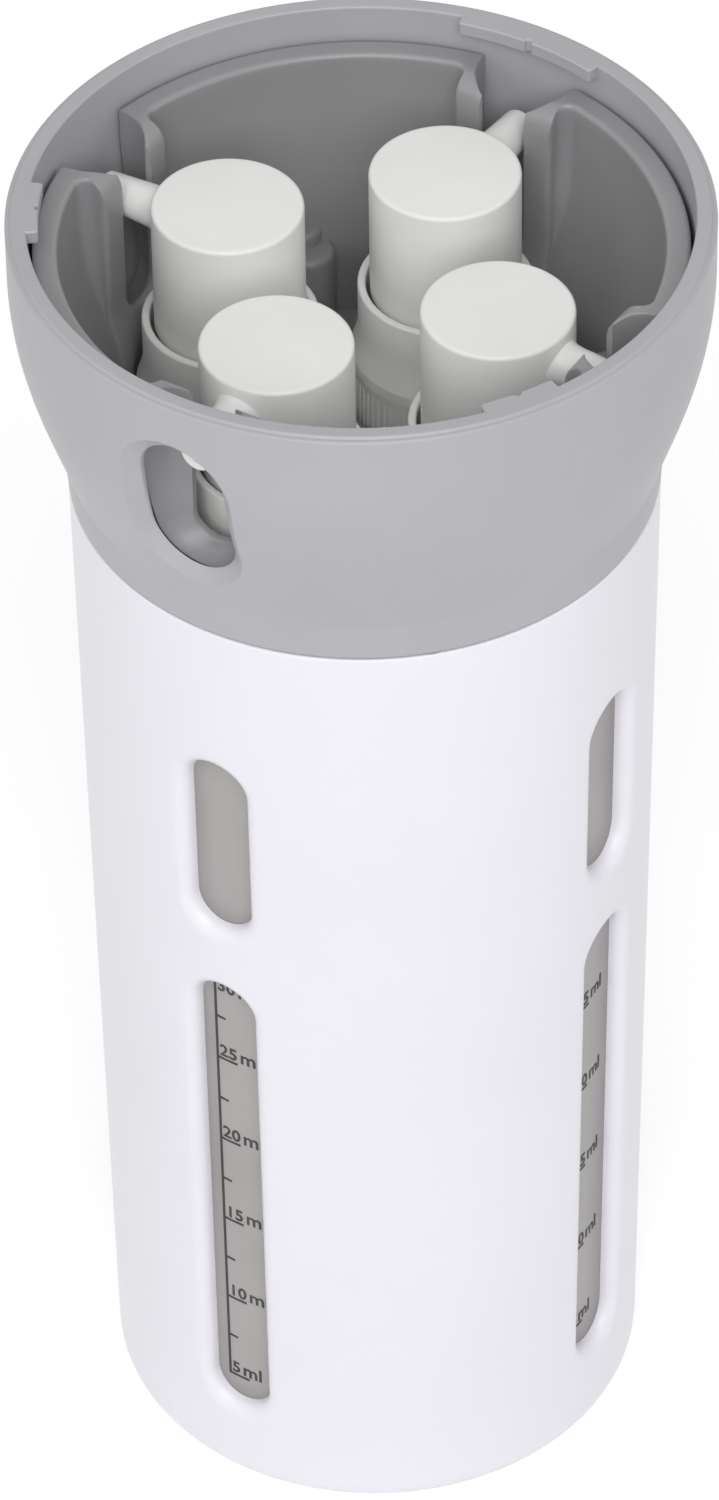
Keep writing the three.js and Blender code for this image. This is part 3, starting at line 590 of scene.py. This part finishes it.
def trough_edge(angle, limit):
    """The height at which the trough first cuts into the flare, so that a row of points can follow that edge."""
    heights = np.arange(TROUGH_FOOT, 152, 0.02)
    cuts = (z for z in heights if hypot(*outer_side(angle, limit, z)) < radius_at(liner_outside, z) - 1e-4)
    return next(cuts, 138.0)


print("trough edge in the middle:", round(trough_edge(0.0, RIM), 2), "mm up")

# %% [markdown]
# On the pump's side a cheek ends in a flat face with a rounded nose, and a tight fillet joins its side to the
# panel. Low down the wall leaves room for the caps.

# %% Liner inside
END_FACE, CHEEK_SIDE = 27.3, 5.8  # where a cheek ends towards the pump, and half the width over two cheeks
NOSE, TIGHT = 0.5, 1.3  # roundings of a cheek: at its end face, and in the fillet to the panel
NOTCH_HALF, NOTCH_BOTTOM = 2.7, 136.8
ROOM_HEIGHTS, ROOM_RADII = (132.2, 135.8), (10.4, 9.2)  # space round a cap
liner_inside = flare_curve((27.05, FLARE_FOOT), (30.85, 153.0))


def cheek_side(zone, share, panel):
    """A point of the pump's side in plan: in the notch, on the cheek, in the fillet or on the panel."""
    room = (panel ** 2 - (END_FACE + NOSE) ** 2 - CHEEK_SIDE ** 2) / (2 * (panel + CHEEK_SIDE))
    tight = min(TIGHT, max(0.1, room))
    side = CHEEK_SIDE + tight
    middle = sqrt((panel - tight) ** 2 - side ** 2)
    turn = atan2(side, middle)
    end = min(END_FACE, middle - NOSE)
    if zone == "notch":
        return np.array([end, share])
    if zone == "fillet":
        a = turn - (turn + pi / 2) * (1 - share)
        return np.array([middle, side]) + polar(tight, a)
    if zone == "panel":
        return polar(panel, turn + (pi / 4 - turn) * share)
    if share < 0.5:
        return np.array([end, NOTCH_HALF + (CHEEK_SIDE - NOSE - NOTCH_HALF) * share / 0.5])
    a = min(1.0, (share - 0.5) / 0.25) * pi / 2
    beyond = max(0.0, share - 0.75) / 0.25 * (middle - end - NOSE)
    return np.array([end + NOSE * (1 - cos(a)) + beyond, CHEEK_SIDE - NOSE * (1 - sin(a))])


def inner_side(zone, share, z):
    """A point on the pump's side, low down with room for the cap."""
    place = cheek_side(zone, share, radius_at(liner_inside, z))
    room = float(np.interp(z, ROOM_HEIGHTS, ROOM_RADII))
    angle = atan2(place[1], place[0])
    across = PUMP_CIRCLE * sin(angle)
    if z < ROOM_HEIGHTS[1] and across < room:
        r = max(hypot(*place), PUMP_CIRCLE * cos(angle) + sqrt(room ** 2 - across ** 2))
        place = polar(r, angle)
    return place


print("end face of a cheek at", inner_side("cheek", 0.0, LINER_TOP).round(2), "mm")

# %% [markdown]
# Half a station takes some fifty steps, close together where the wall turns. A step says where the outside and
# the inside are, and the steps of the notch also say how high its floor lies.

# %% Liner steps
ANY = 99.0  # no limit to the outer radius
FLANK_END, PANEL_START = asin(TROUGH_RADIUS / TROUGH_AXIS), radians(15.0)


def trough_angle(turn):
    """The angle about the main axis of a point on the trough's circle."""
    return atan2(TROUGH_RADIUS * sin(turn), TROUGH_AXIS - TROUGH_RADIUS * cos(turn))


steps = []  # outer angle, outer limit, inner zone and share, and the notch's floor
for t in np.linspace(0, pi / 2, 9):
    across = NOTCH_HALF * sin(t)
    floor = NOTCH_BOTTOM + NOTCH_HALF * (1 - cos(t))
    steps.append((trough_angle(asin(across / TROUGH_RADIUS)), ANY, "notch", across, floor))
first, last = asin(NOTCH_HALF / TROUGH_RADIUS), radians(80)
for t in (0.002, 0.02, 0.05, 0.1, 0.17, 0.25, 0.33, 0.42, 0.5, 0.56, 0.62, 0.69, 0.75, 0.83, 0.92, 1.0):
    steps.append((trough_angle(first + (last - first) * t), ANY, "cheek", t, None))
for t, limit in ((0.06, 32.3), (0.14, 32.8), (0.22, 33.1), (0.3, ANY)):
    steps.append((FLANK_END + 0.0008 * t, limit, "fillet", t, None))
for t in np.linspace(0.38, 1, 9):
    steps.append((FLANK_END + (PANEL_START - FLANK_END) * (t - 0.3) / 0.7, ANY, "fillet", t, None))
for t in np.linspace(0, 1, 15)[1:]:
    steps.append((PANEL_START + (pi / 4 - PANEL_START) * t, ANY, "panel", t, None))
print("steps:", len(steps))

# %% [markdown]
# Each step's loop runs up the outside, over a rounded crown and down the inside. The crown is level, but a cheek
# bends down to its end face. Mirrored and turned four times, the loops close into one wall.

# %% Liner wall
CROWN_BEND, ROUND_OUT, ROUND_IN = 2.7, 0.4, 0.55
PLUG_RADIUS = 27.9
LEVELS = [LINER_FOOT, 124.5, 125.6, 127, 129, 131, 132.15, 132.25, 134, 135, 135.7, 136.1, 136.7, 137.3, 138.2,
          139.5, 141, *between(142.5, 156.2, 1.1)]


def crown(zone, x, floor):
    """The upper edge's height: the notch's floor, or level and rounded down at a cheek's end."""
    past = 0.0 if zone == "panel" else min(CROWN_BEND, max(0.0, END_FACE + CROWN_BEND - x))
    return floor or LINER_TOP - CROWN_BEND + sqrt(CROWN_BEND ** 2 - past ** 2)


def sunk(distance, radius):
    """How far a rounded edge lies below the crown, at a distance from the wall's side."""
    return radius * (1 - sqrt(1 - max(0.0, 1 - distance / radius) ** 2))


half = []
bends = 1 - np.cos(np.linspace(0.3, pi / 2, 5))
for angle, limit, zone, share, floor in steps:
    a, b = outer_side(angle, limit, LINER_TOP), inner_side(zone, share, LINER_TOP)
    rim_out, rim_in = crown(zone, a[0], floor), crown(zone, b[0], floor)
    a, b = outer_side(angle, limit, rim_out), inner_side(zone, share, rim_in)
    wide = np.linalg.norm(b - a)
    out, into = min(ROUND_OUT, 0.4 * wide), min(ROUND_IN, 0.4 * wide)
    loop = [(*polar(PLUG_RADIUS, angle), z) for z in (LINER_FOOT, FLARE_FOOT)]
    edge = trough_edge(angle, limit)
    above = edge + (LINER_TOP - ROUND_OUT - edge) * np.linspace(0, 1, 25)[1:] ** 1.6
    for z in [*np.linspace(FLARE_FOOT, edge, 8), *np.minimum(above, rim_out - out)]:
        loop.append((*outer_side(angle, limit, z), z))
    for d in [*(out * bends), *np.linspace(out, wide - into, 9)[1:-1], *(wide - into * bends[::-1])]:
        place = a + (b - a) * d / wide
        loop.append((*place, crown(zone, place[0], floor) - sunk(d, out) - sunk(wide - d, into)))
    for z in np.minimum(LEVELS, rim_in - into)[::-1]:
        loop.append((*inner_side(zone, share, z), z))
    half.append(np.array(loop))
station_loops = [loop * [1, -1, 1] for loop in half[:0:-1]] + half[:-1]
n = len(half[0])
points = np.concatenate([turned_about(loop, angle) for angle in STATIONS.values() for loop in station_loops])
count = len(points) // n
liner = new_piece("liner_wall", points, swept_faces(count, n), 50)
tell(f"liner wall from {count} loops", liner)

# %% [markdown]
# The liner's floor, with its four holes for the caps, and the stepped bosses in the panels' middles are turned
# pieces. They are gathered into the liner's mesh, because it is one moulding.

# %% Liner floor and bosses
def gather(piece, others):
    """Adds the meshes of other pieces to a piece."""
    work = bmesh.new()
    for part in [piece] + others:
        work.from_mesh(part.data)
    work.to_mesh(piece.data)
    work.free()
    for part in others:
        bpy.data.objects.remove(part)


plate = new_piece("liner_floor", *turned_mesh([(0, LINER_FOOT), (27.3, LINER_FOOT), (27.3, 125.0), (0, 125.0)], 96))
hole = [(0, 122), (10.4, 122), (10.4, 124.8), (11.2, 125.6), (0, 125.6)]
carve(plate, [turned_piece(f"cap_hole_{station}", hole, 72, station) for station in STATIONS])
settle(plate)
bosses = []
for station, angle in STATIONS.items():
    for name, reach, radius, top in (("low", 26.6, 3.0, 134.5), ("high", 28.5, 2.1, 136.0)):
        post = soften([(0, 124.4, 0), (radius, 124.4, 0), (radius, top, 0.9), (0, top, 0)])
        points, faces = turned_mesh(post, 40)
        bosses.append(new_piece(f"boss_{name}_{station}", turned_about(points + [reach, 0, 0], angle + 45), faces))
gather(liner, [plate] + bosses)
shade(liner, 45)
dress(liner, "guide_grey", "base", "nozzle_guide")
tell("liner", liner)

# %% [markdown]
# ## Bottles
# Each bottle is a quarter of a circle in plan with generous corners. Rings of that outline are stacked, set in
# a little at the foot and at the shoulder, and a round neck carries the pump.

# %% Bottle outline
BOTTLE_CORNER, BOTTLE_GAP = 4.5, 0.6  # corner radius, and half the gap between two bottles


def quarter(radius, inset, z, arc=14, bend_steps=7):
    """The plan outline of a bottle across +X, set in by an amount."""
    corner, gap, outer = BOTTLE_CORNER - inset, BOTTLE_GAP + inset, radius - inset
    reach = pi / 4 - asin(gap / outer)
    bend, on_arc = corner / outer, partial(polar, outer)
    flank = outer * sin(reach) * sqrt(2) - corner

    def side(d, sign):
        return np.array([gap * sqrt(2) + d / sqrt(2), sign * d / sqrt(2)])

    def round_off(a, b, c):
        t = np.linspace(0, 1, bend_steps)[:, None]
        return list((1 - t) ** 2 * a + 2 * t * (1 - t) * b + t ** 2 * c)

    outline = round_off(side(flank, -1), on_arc(-reach), on_arc(-reach + bend))
    outline += [on_arc(a) for a in np.linspace(-reach + bend, reach - bend, arc)[1:-1]]
    outline += round_off(on_arc(reach - bend), on_arc(reach), side(flank, 1))
    outline += round_off(side(corner, 1), side(0, 1), side(corner, -1))
    return [(x, y, z) for x, y in outline]


print("bottle outline:", len(quarter(27.0, 0, 0)), "points")

# %% [markdown]
# The body is a skin over those rings. The neck is joined to it, and the hollow and the bore are cut out, so that
# the bottle is a real one with a wall.

# %% Bottles
BOTTLE_FOOT, BOTTLE_TOP, BOTTLE_EDGE = 1.9, 112.0, 1.5
FOOT_RADIUS, BOTTLE_DRAFT = 26.8, 1.1 / 107.1
SHOULDER_RADIUS = 27.9


def skin_piece(name, rings, angle):
    """A skin over rings, turned to a station."""
    points, faces = loft_mesh(rings)
    return new_piece(name, turned_about(points, angle), faces)


def rounded(radius, level, way, turns):
    """Rings of a rounded end: at the foot they go up from a level, at the shoulder down."""
    return [quarter(radius, BOTTLE_EDGE * (1 - sin(t)), level + way * BOTTLE_EDGE * (1 - cos(t))) for t in turns]


rings = rounded(FOOT_RADIUS, BOTTLE_FOOT, 1, np.linspace(0, pi / 2, 6))
rings += [quarter(FOOT_RADIUS + BOTTLE_DRAFT * (z - BOTTLE_FOOT - BOTTLE_EDGE), 0, z) for z in between(8, 106, 14)]
rings += rounded(SHOULDER_RADIUS, BOTTLE_TOP, -1, np.linspace(pi / 2, 0, 6))
hollow = [quarter(FOOT_RADIUS, 1.1, 3.0), quarter(SHOULDER_RADIUS, 1.1, 110.5), quarter(SHOULDER_RADIUS, 2.6, 110.9)]
throat = soften([(0, 111, 0), (8.35, 111, 0), (8.35, 124.2, 0.3), (0, 124.2, 0)], 4)
bore = [(0, 109.4), (6.75, 109.4), (6.75, 125.2), (0, 125.2)]
for station, angle in STATIONS.items():
    bottle = skin_piece(f"bottle_{station}_body", rings, angle)
    carve(bottle, [turned_piece("throat", throat, 48, station)], "UNION")
    carve(bottle, [skin_piece("hollow", hollow, angle), turned_piece("bore", bore, 48, station)])
    even_shading(bottle, 40)
    dress(bottle, "smoked_plastic", "base", f"bottle_{station}")
tell("each bottle", bottle)

# %% [markdown]
# ## Scale
# A printed millilitre scale runs up each bottle behind the long window: a line, a long tick with its number
# every 5 ml and a short tick between. The marks repeat and follow a curved wall, which suits Geometry Nodes.
# The tree first lays the ticks and the line out flat. Every second tick is a short one.

# %% Scale tree: ticks and line
def fill(tree, node, values):
    """Feeds a node's inputs in their order and gives its first output."""
    for slot, value in zip(node.inputs, values):
        feed(tree, slot, value)
    return node.outputs[0]


def math_node(tree, operation, *values):
    """A Math node on links or numbers."""
    node = tree.nodes.new("ShaderNodeMath")
    node.operation = operation
    return fill(tree, node, values)


def vector_node(tree, *values):
    """A Combine XYZ node on links or numbers."""
    return fill(tree, tree.nodes.new("ShaderNodeCombineXYZ"), values)


FIRST_TICK, TICK_PITCH = 12.92, 6.175
PRINT_SIZES = {"Tick pitch": TICK_PITCH, "First tick": FIRST_TICK, "Line place": -2.35, "Long tick": 2.55,
               "Short tick": 1.25, "Line weight": 0.3, "Print depth": 0.05, "Foot radius": 26.766}
scale_tree, given = new_tree("Printed scale", "GeometryNodeTree", [
    ("Geometry", "Geometry"), ("Ticks", "Int", 11),
    *[(name, "Float", size * MM) for name, size in PRINT_SIZES.items()],
    ("Draft", "Float", BOTTLE_DRAFT), ("Turn", "Float", 0.0), ("Print", "Material"),
], [("Geometry", "Geometry")])
node, calc, vector = partial(add_node, scale_tree), partial(math_node, scale_tree), partial(vector_node, scale_tree)
depth, weight, place = given["Print depth"], given["Line weight"], given["Line place"]
rungs = node("GeometryNodeMeshLine", {
    "Count": given["Ticks"], "Start Location": vector(0.0, place, given["First tick"]),
    "Offset": vector(0.0, 0.0, given["Tick pitch"])})
bar = node("GeometryNodeMeshCube", {"Vertices Y": 5, "Size": vector(depth, 1.0, weight)})
shift = node("GeometryNodeTransform", {"Geometry": bar, "Translation": (0, 0.5, 0)})
odd = calc("MODULO", node("GeometryNodeInputIndex", {}), 2.0)
shorter = calc("SUBTRACT", given["Long tick"], given["Short tick"])
length = calc("SUBTRACT", given["Long tick"], calc("MULTIPLY", odd, shorter))
ticks = node("GeometryNodeInstanceOnPoints", {
    "Points": rungs, "Instance": shift, "Scale": vector(1.0, length, 1.0)})
span = calc("MULTIPLY", given["Tick pitch"], calc("SUBTRACT", given["Ticks"], 1.0))
spine = node("GeometryNodeMeshCube", {"Vertices Z": 30, "Size": vector(depth, weight, calc("ADD", span, weight))})
middle = calc("ADD", given["First tick"], calc("MULTIPLY", span, 0.5))
raised = node("GeometryNodeTransform", {"Geometry": spine, "Translation": vector(0.0, place, middle)})
print("scale tree so far:", len(scale_tree.nodes), "nodes")

# %% [markdown]
# The numerals come in as the object's own mesh. The tree joins them to the marks, then bends everything round the
# bottle with one formula: the place across the scale becomes an angle. Every tree ends in the same way: its
# instances become real faces, because the export drops instances, and then get their material.

# %% Scale tree: bend and print
def join(tree, *parts):
    """A Join Geometry node on several parts."""
    node = tree.nodes.new("GeometryNodeJoinGeometry")
    for part in parts:
        feed(tree, node.inputs["Geometry"], part)
    return node


def end_tree(tree, geometry, finish):
    """Makes instances real, gives them their material and puts them out."""
    real = add_node(tree, "GeometryNodeRealizeInstances", {"Geometry": geometry})
    coat = add_node(tree, "GeometryNodeSetMaterial", {"Geometry": real, "Material": finish})
    add_node(tree, "NodeGroupOutput", {"Geometry": coat})


real = node("GeometryNodeRealizeInstances", {"Geometry": join(scale_tree, given["Geometry"], raised, ticks)})
where = node("ShaderNodeSeparateXYZ", {"Vector": node("GeometryNodeInputPosition", {})}).outputs
wall = calc("ADD", given["Foot radius"], calc("MULTIPLY", where["Z"], given["Draft"]))
bend = calc("ADD", calc("DIVIDE", where["Y"], wall), given["Turn"])
away = calc("ADD", wall, where["X"])
bent = vector(calc("MULTIPLY", away, calc("COSINE", bend)), calc("MULTIPLY", away, calc("SINE", bend)), where["Z"])
end_tree(scale_tree, node("GeometryNodeSetPosition", {"Geometry": real, "Position": bent}), given["Print"])
print("scale tree:", len(scale_tree.nodes), "nodes")

# %% [markdown]
# Text objects give the numerals. They are made flat meshes first, and one tree then prints all four bottles,
# each with its own turn.

# %% Scale on each bottle
def grow(piece, tree, values):
    """Runs a tree on a piece with some of its inputs set, and keeps the result as a plain mesh."""
    step = piece.modifiers.new(tree.name, "NODES")
    step.node_group = tree
    for item in tree.interface.items_tree:
        if item.in_out == "INPUT" and item.name in values:
            step[item.identifier] = values[item.name]
    return baked(piece)


def numeral(words, across, up, size):
    """Points and faces of flat text, standing in the YZ plane, in millimetres."""
    letters = bpy.data.curves.new("numeral", "FONT")
    letters.body = words
    letters.size = size
    letters.extrude = 0.025
    letters.resolution_u = 3
    letters.offset = 0.04
    sign = stand("numeral", letters)
    mesh = final_mesh(sign)
    points = [(v.co.z, across + v.co.x, up + v.co.y) for v in mesh.vertices]
    faces = [tuple(p.vertices) for p in mesh.polygons]
    bpy.data.objects.remove(sign)
    return points, faces


points, faces = [], []
for k in range(6):
    number = str(5 * (k + 1))
    up = FIRST_TICK + 2 * TICK_PITCH * k + (0.45 if k < 5 else -2.15)  # the last one hangs below its tick
    for words, across, size in ((number, -2.05, 2.3), ("ml", -1.85 + 1.2 * len(number), 2.6)):
        more, shapes = numeral(words, across, up, size)
        faces += [tuple(i + len(points) for i in f) for f in shapes]
        points += more
for station, angle in STATIONS.items():
    scale = new_piece(f"scale_{station}_print", points, faces)
    settle(grow(scale, scale_tree, {"Turn": radians(angle), "Print": FINISH["scale_print"]}))
    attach(scale, "base")
tell("each scale", scale)

# %% [markdown]
# ## Pump closures
# The closure is a screw cap whose skirt has fine grip ribs, a cone above them and a thin upright ring that the
# head slides down in. The ribs stand in a circle, so Geometry Nodes set one ridge on every point of a circle.

# %% Grip rib tree
SKIRT_RADIUS = 9.82
rib_tree, given = new_tree("Grip ribs", "GeometryNodeTree", [
    ("Geometry", "Geometry"), ("Rib", "Object"), ("Ribs", "Int", 72), ("Skirt radius", "Float", SKIRT_RADIUS * MM),
    ("Pump axis", "Vector"), ("Finish", "Material"),
], [("Geometry", "Geometry")])
node, calc = partial(add_node, rib_tree), partial(math_node, rib_tree)
circle = node("GeometryNodeMeshCircle", {"Vertices": given["Ribs"], "Radius": given["Skirt radius"]})
ridge = node("GeometryNodeObjectInfo", {"Object": given["Rib"]})
share = calc("DIVIDE", node("GeometryNodeInputIndex", {}), given["Ribs"])
facing = node("FunctionNodeEulerToRotation", {
    "Euler": vector_node(rib_tree, 0.0, 0.0, calc("MULTIPLY", share, 2 * pi))})
ribs = node("GeometryNodeInstanceOnPoints", {
    "Points": circle, "Instance": ridge.outputs["Geometry"], "Rotation": facing})
placed = node("GeometryNodeTransform", {"Geometry": ribs, "Translation": given["Pump axis"]})
end_tree(rib_tree, join(rib_tree, given["Geometry"], placed), given["Finish"])
print("grip rib tree:", len(rib_tree.nodes), "nodes")

# %% [markdown]
# The cap itself is turned. Its outline goes up the skirt, over a hollow cone to the ring, down into the well where
# the head slides, and back inside. One small ridge, which fades out at its top, serves all the ribs.

# %% Closures
plan = [(-0.25, -0.26), (0.0, -0.24), (0.13, -0.13), (0.17, 0.0), (0.13, 0.13), (0.0, 0.24), (-0.25, 0.26)]
stack = [[(-0.25 + (x + 0.25) * full, y, z) for x, y in plan] for z, full in ((114.6, 1), (128.2, 1), (130.2, 0.4))]
rib = new_piece("rib", *loft_mesh(stack), 60)
skirt = soften([(8.65, 113.5, 0), (SKIRT_RADIUS, 113.5, 0.3), (SKIRT_RADIUS, 129.0, 0.6), (9.98, 130.2, 0.5),
                (9.98, 131.4, 0.5), (9.4, 132.3, 0)], 4)
cone = [(9.2 + 0.62 * (1 - t) ** 2, 131.9 + 3.3 * t) for t in np.linspace(0.12, 1, 9)]
well = soften([(9.2, 136.0, 0), (9.2, 139.8, 0.3), (8.35, 139.8, 0.3), (8.35, 133.5, 0.3), (2.3, 133.5, 0)], 4)
chamber = [(2.3, 130.5), (3.8, 130.5), (3.8, 132.0), (7.55, 132.0), (7.55, 127.6), (8.65, 127.6)]
for station in STATIONS:
    cap = turned_piece(f"closure_{station}", skirt[:-1] + cone + well + chamber, 96, station)
    axis = tuple(at_station([(0, 0, 0)], station)[0] * MM)
    grow(cap, rib_tree, {"Rib": rib, "Pump axis": axis, "Finish": FINISH["pump_white"]})
    dress(cap, "pump_white", "base", f"screw_cap_{station}")
bpy.data.objects.remove(rib)
tell("each closure", cap)

# %% [markdown]
# ## Pump heads
# The head is a plain button with a flat top and a soft edge. Its nozzle leaves the side in a small fillet,
# tapers a little and ends in a blunt tip with a bore. The nozzle is a turned piece laid on its side.

# %% Pump heads
NOZZLE_HEIGHT, NOZZLE_TIP = 150.2, 15.05
button = soften([
    (0, 154.1, 0), (7.9, 154.1, 0.5), (7.9, 138.8, 0.25), (6.7, 138.8, 0.2), (6.7, 151.9, 0.4), (3.4, 151.9, 0),
    (3.4, 144.975, 0), (2.3, 144.975, 0), (2.3, 150.575, 0), (0, 150.575, 0)], 6)
nozzle = [(2.6, 0), (2.6, 2.1), (7.0, 2.1)]  # along, and radius
nozzle += [(7.2 + t, 2.15 + 0.9 * exp(-t / 0.75)) for t in np.linspace(0, 3.2, 12)]
nozzle += [(x, 2.15 - 0.25 * (x - 10.4) / 4.4) for x in np.linspace(10.8, 14.7, 5)]
nozzle += [(NOZZLE_TIP - 0.35 + 0.35 * sin(t), 1.55 + 0.35 * cos(t))
           for t in np.linspace(0.2, pi / 2, 6)]
nozzle += [(NOZZLE_TIP, 0.9), (NOZZLE_TIP - 0.15, 0.75), (11.0, 0.75), (11.0, 0)]
for station in STATIONS:
    head = turned_piece(f"head_{station}_button", button, 112, station)
    flat, faces = turned_mesh([(r, x) for x, r in nozzle], 56)
    laid = np.stack([flat[:, 2], flat[:, 0], flat[:, 1] + NOZZLE_HEIGHT], axis=1)
    gather(head, [new_piece("spout", at_station(laid, station), faces)])
    shade(head, 38)
    dress(head, "pump_white", f"pump_{station}", f"pump_head_{station}")
tell("each pump head", head)

# %% [markdown]
# ## Inside the pumps
# The rest hides in the bottle's neck: stem, piston, barrel, gasket and dip tube are turned pieces, written as
# outlines from the same sizes as the CAD solids. Each is smooth here, where the solid has a few flat sides.

# %% Turned inner pieces
INNER = {
    "pump_stem": ("pump_white", [(1.1, 117.8, 0), (2.0, 117.8, 0.2), (2.0, 149.15, 0.2), (1.1, 149.15, 0)]),
    "pump_piston": ("seal", [
        (2.3, 117.8, 0), (3.98, 117.8, 0.15), (3.98, 118.8, 0.3), (3.18, 119.8, 0.3), (3.98, 120.8, 0.3),
        (3.98, 121.8, 0.15), (2.3, 121.8, 0)]),
    "gasket": ("seal", [(6.75, 124.5, 0.1), (8.35, 124.5, 0.2), (8.35, 125.5, 0.2), (6.75, 125.5, 0.1)]),
    "dip_tube": ("clear_plastic", [(1.2, 4.5, 0.1), (1.9, 4.5, 0.2), (1.9, 99.8, 0.2), (1.2, 99.8, 0.1)]),
    "pump_housing": ("clear_plastic", [
        (4.2, 127.3, 0.1), (4.2, 105.8, 0.2), (2.3, 105.8, 0.2), (2.3, 103.2, 0.1), (1.0, 101.9, 0), (1.0, 100.1, 0),
        (2.2, 100.1, 0.1), (2.2, 94.6, 0.1), (3.1, 94.6, 0.2), (3.1, 100.1, 0.3), (5.0, 103.2, 0.4),
        (5.0, 125.8, 0.3), (8.2, 125.8, 0.2), (8.2, 127.3, 0.2)]),
}
for name, (finish, corners) in INNER.items():
    for station in STATIONS:
        inner = turned_piece(f"{name}_{station}_smooth", soften(corners, 4), 40, station)
        body = f"pump_{station}" if name in ("pump_stem", "pump_piston") else "base"
        dress(inner, finish, body, f"{name}_{station}")
    tell(f"each {name}", inner)

# %% [markdown]
# The return spring is a wire wound five times round the barrel's axis. It shortens as its pump goes down, but here
# it stays with the base, with a mesh of its own. Below it, a steel ball closes the foot of each barrel as a valve:
# a turned half circle in the middle of the CAD ball's box.

# %% Springs and balls
WIRE, COIL, TURNS = 0.3, 3.25, 5
SPRING_FOOT, SPRING_TOP, BALL_RADIUS = 106.4, 117.2, 1.6
UP = np.array([0, 0, 1])
wire_turns = np.linspace(0, 2 * pi, 10, endpoint=False)
rings = []
for t in np.linspace(0, 1, TURNS * 40 + 1):
    a = 2 * pi * TURNS * t
    out = np.array([cos(a), sin(a), 0])
    middle = COIL * out + [0, 0, SPRING_FOOT + (SPRING_TOP - SPRING_FOOT) * t]
    rings.append([middle + WIRE * (cos(b) * out + sin(b) * UP) for b in wire_turns])
wound, wound_faces = loft_mesh(rings)
arc = [(BALL_RADIUS * sin(t), BALL_RADIUS * cos(t)) for t in np.linspace(0, pi, 25)]
points, faces = turned_mesh(arc, 40)
for station in STATIONS:
    coil = new_piece(f"spring_{station}_coil", at_station(wound, station), wound_faces, 60)
    dress(coil, "steel", "base", f"return_spring_{station}")
    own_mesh(coil)
    low_ball, high_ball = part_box(f"check_ball_{station}")
    centre = (np.array(low_ball) + np.array(high_ball)) / 2 / MM
    ball = new_piece(f"ball_{station}_round", points + centre, faces)
    dress(ball, "steel", "base", f"check_ball_{station}")
tell("each spring", coil)
tell("each ball", ball)

# %% [markdown]
# ## Floor, light and camera
# A pale floor catches the shadow. It gives off a little light of its own, but only to rays from the camera and
# to reflections, so the background reads as white without any more light falling on the object.

# %% Floor
def seen_directly(tree):
    """1 for camera, glossy and transmission rays, 0 for the rest."""
    path = tree.nodes.new("ShaderNodeLightPath")
    either = math_node(tree, "MAXIMUM", path.outputs["Is Camera Ray"], path.outputs["Is Glossy Ray"])
    return math_node(tree, "MAXIMUM", either, path.outputs["Is Transmission Ray"])


side = 4.0
ground = bpy.data.meshes.new("floor")
ground.from_pydata([(-side, -side, 0), (side, -side, 0), (side, side, 0), (-side, side, 0)], [], [(0, 1, 2, 3)])
floor = stand("floor", ground)
pale = bpy.data.materials.new("pale floor")
pale.use_nodes = True
tree = pale.node_tree
tree.nodes.clear()
matt = add_node(tree, "ShaderNodeBsdfDiffuse", {"Color": (0.86, 0.86, 0.87, 1)})
glow = add_node(tree, "ShaderNodeEmission", {"Strength": math_node(tree, "MULTIPLY", seen_directly(tree), 0.4)})
both = fill(tree, tree.nodes.new("ShaderNodeAddShader"), (matt, glow))
add_node(tree, "ShaderNodeOutputMaterial", {"Surface": both})
ground.materials.append(pale)
print("floor:", 2 * side, "m wide")

# %% [markdown]
# Soft studio light: an even sky, one large panel in front of the object, and two at its sides. The sky is white
# where the camera or a reflection looks at it, and dimmer for the light that it sheds.

# %% Light
SKY, VIEW_AZIMUTH = 0.45, 32.6
sky = bpy.data.worlds.new("soft studio")
sky.use_nodes = True
bpy.context.scene.world = sky
tree = sky.node_tree
backdrop = tree.nodes["Background"]
backdrop.inputs["Color"].default_value = (1, 1, 1, 1)
level = math_node(tree, "MULTIPLY", seen_directly(tree), 1 - SKY)
feed(tree, backdrop.inputs["Strength"], math_node(tree, "ADD", level, SKY))


def direction(azimuth, elevation):
    """The way from the object to a lamp or the camera."""
    return Vector((sin(azimuth) * cos(elevation), -cos(azimuth) * cos(elevation), sin(elevation)))


def panel(name, azimuth, elevation, distance, size, watts):
    """A square area lamp that faces the middle of the object; azimuth is seen from the camera."""
    lamp = bpy.data.lights.new(name, "AREA")
    lamp.size = size
    lamp.energy = watts
    holder = stand(name, lamp)
    away = direction(radians(VIEW_AZIMUTH + azimuth), radians(elevation))
    holder.location = Vector((0, 0, 0.09)) + away * distance
    holder.rotation_euler = away.to_track_quat("Z", "Y").to_euler()


panel("front panel", 0, 41, 1.6, 1.2, 14.4)
panel("left panel", -75, 30, 1.5, 1.0, 2.1)
panel("right panel", 75, 30, 1.5, 1.0, 1.3)

# %% [markdown]
# The camera stands 0.89 m away, 42 degrees up and a third of a right angle round from the outlet. These numbers
# come from fitting the round seam, the base edge and the sides in the photograph.

# %% Camera
DISTANCE, ELEVATION, ROLL = 0.890, 0.738, -0.016
AIM_HEIGHT, AIM_ASIDE = 0.0864, -0.001016
a = radians(VIEW_AZIMUTH)
right = Vector((cos(a), sin(a), 0))
toward = direction(a, ELEVATION)
lens = bpy.data.cameras.new("camera")
lens.lens = 199.75
lens.sensor_width = 36
lens.clip_start, lens.clip_end = 0.05, 50
camera = stand("camera", lens)
camera.location = Vector((0, 0, AIM_HEIGHT)) + right * AIM_ASIDE + toward * DISTANCE
tilted_right = cos(ROLL) * right + sin(ROLL) * toward.cross(right)
axes = np.array([tilted_right, toward.cross(tilted_right), toward]).T
camera.rotation_euler = Matrix(axes.tolist()).to_euler()
bpy.context.scene.camera = camera
bpy.context.scene.view_settings.view_transform = "Standard"
print("camera at", [round(c, 3) for c in camera.location])
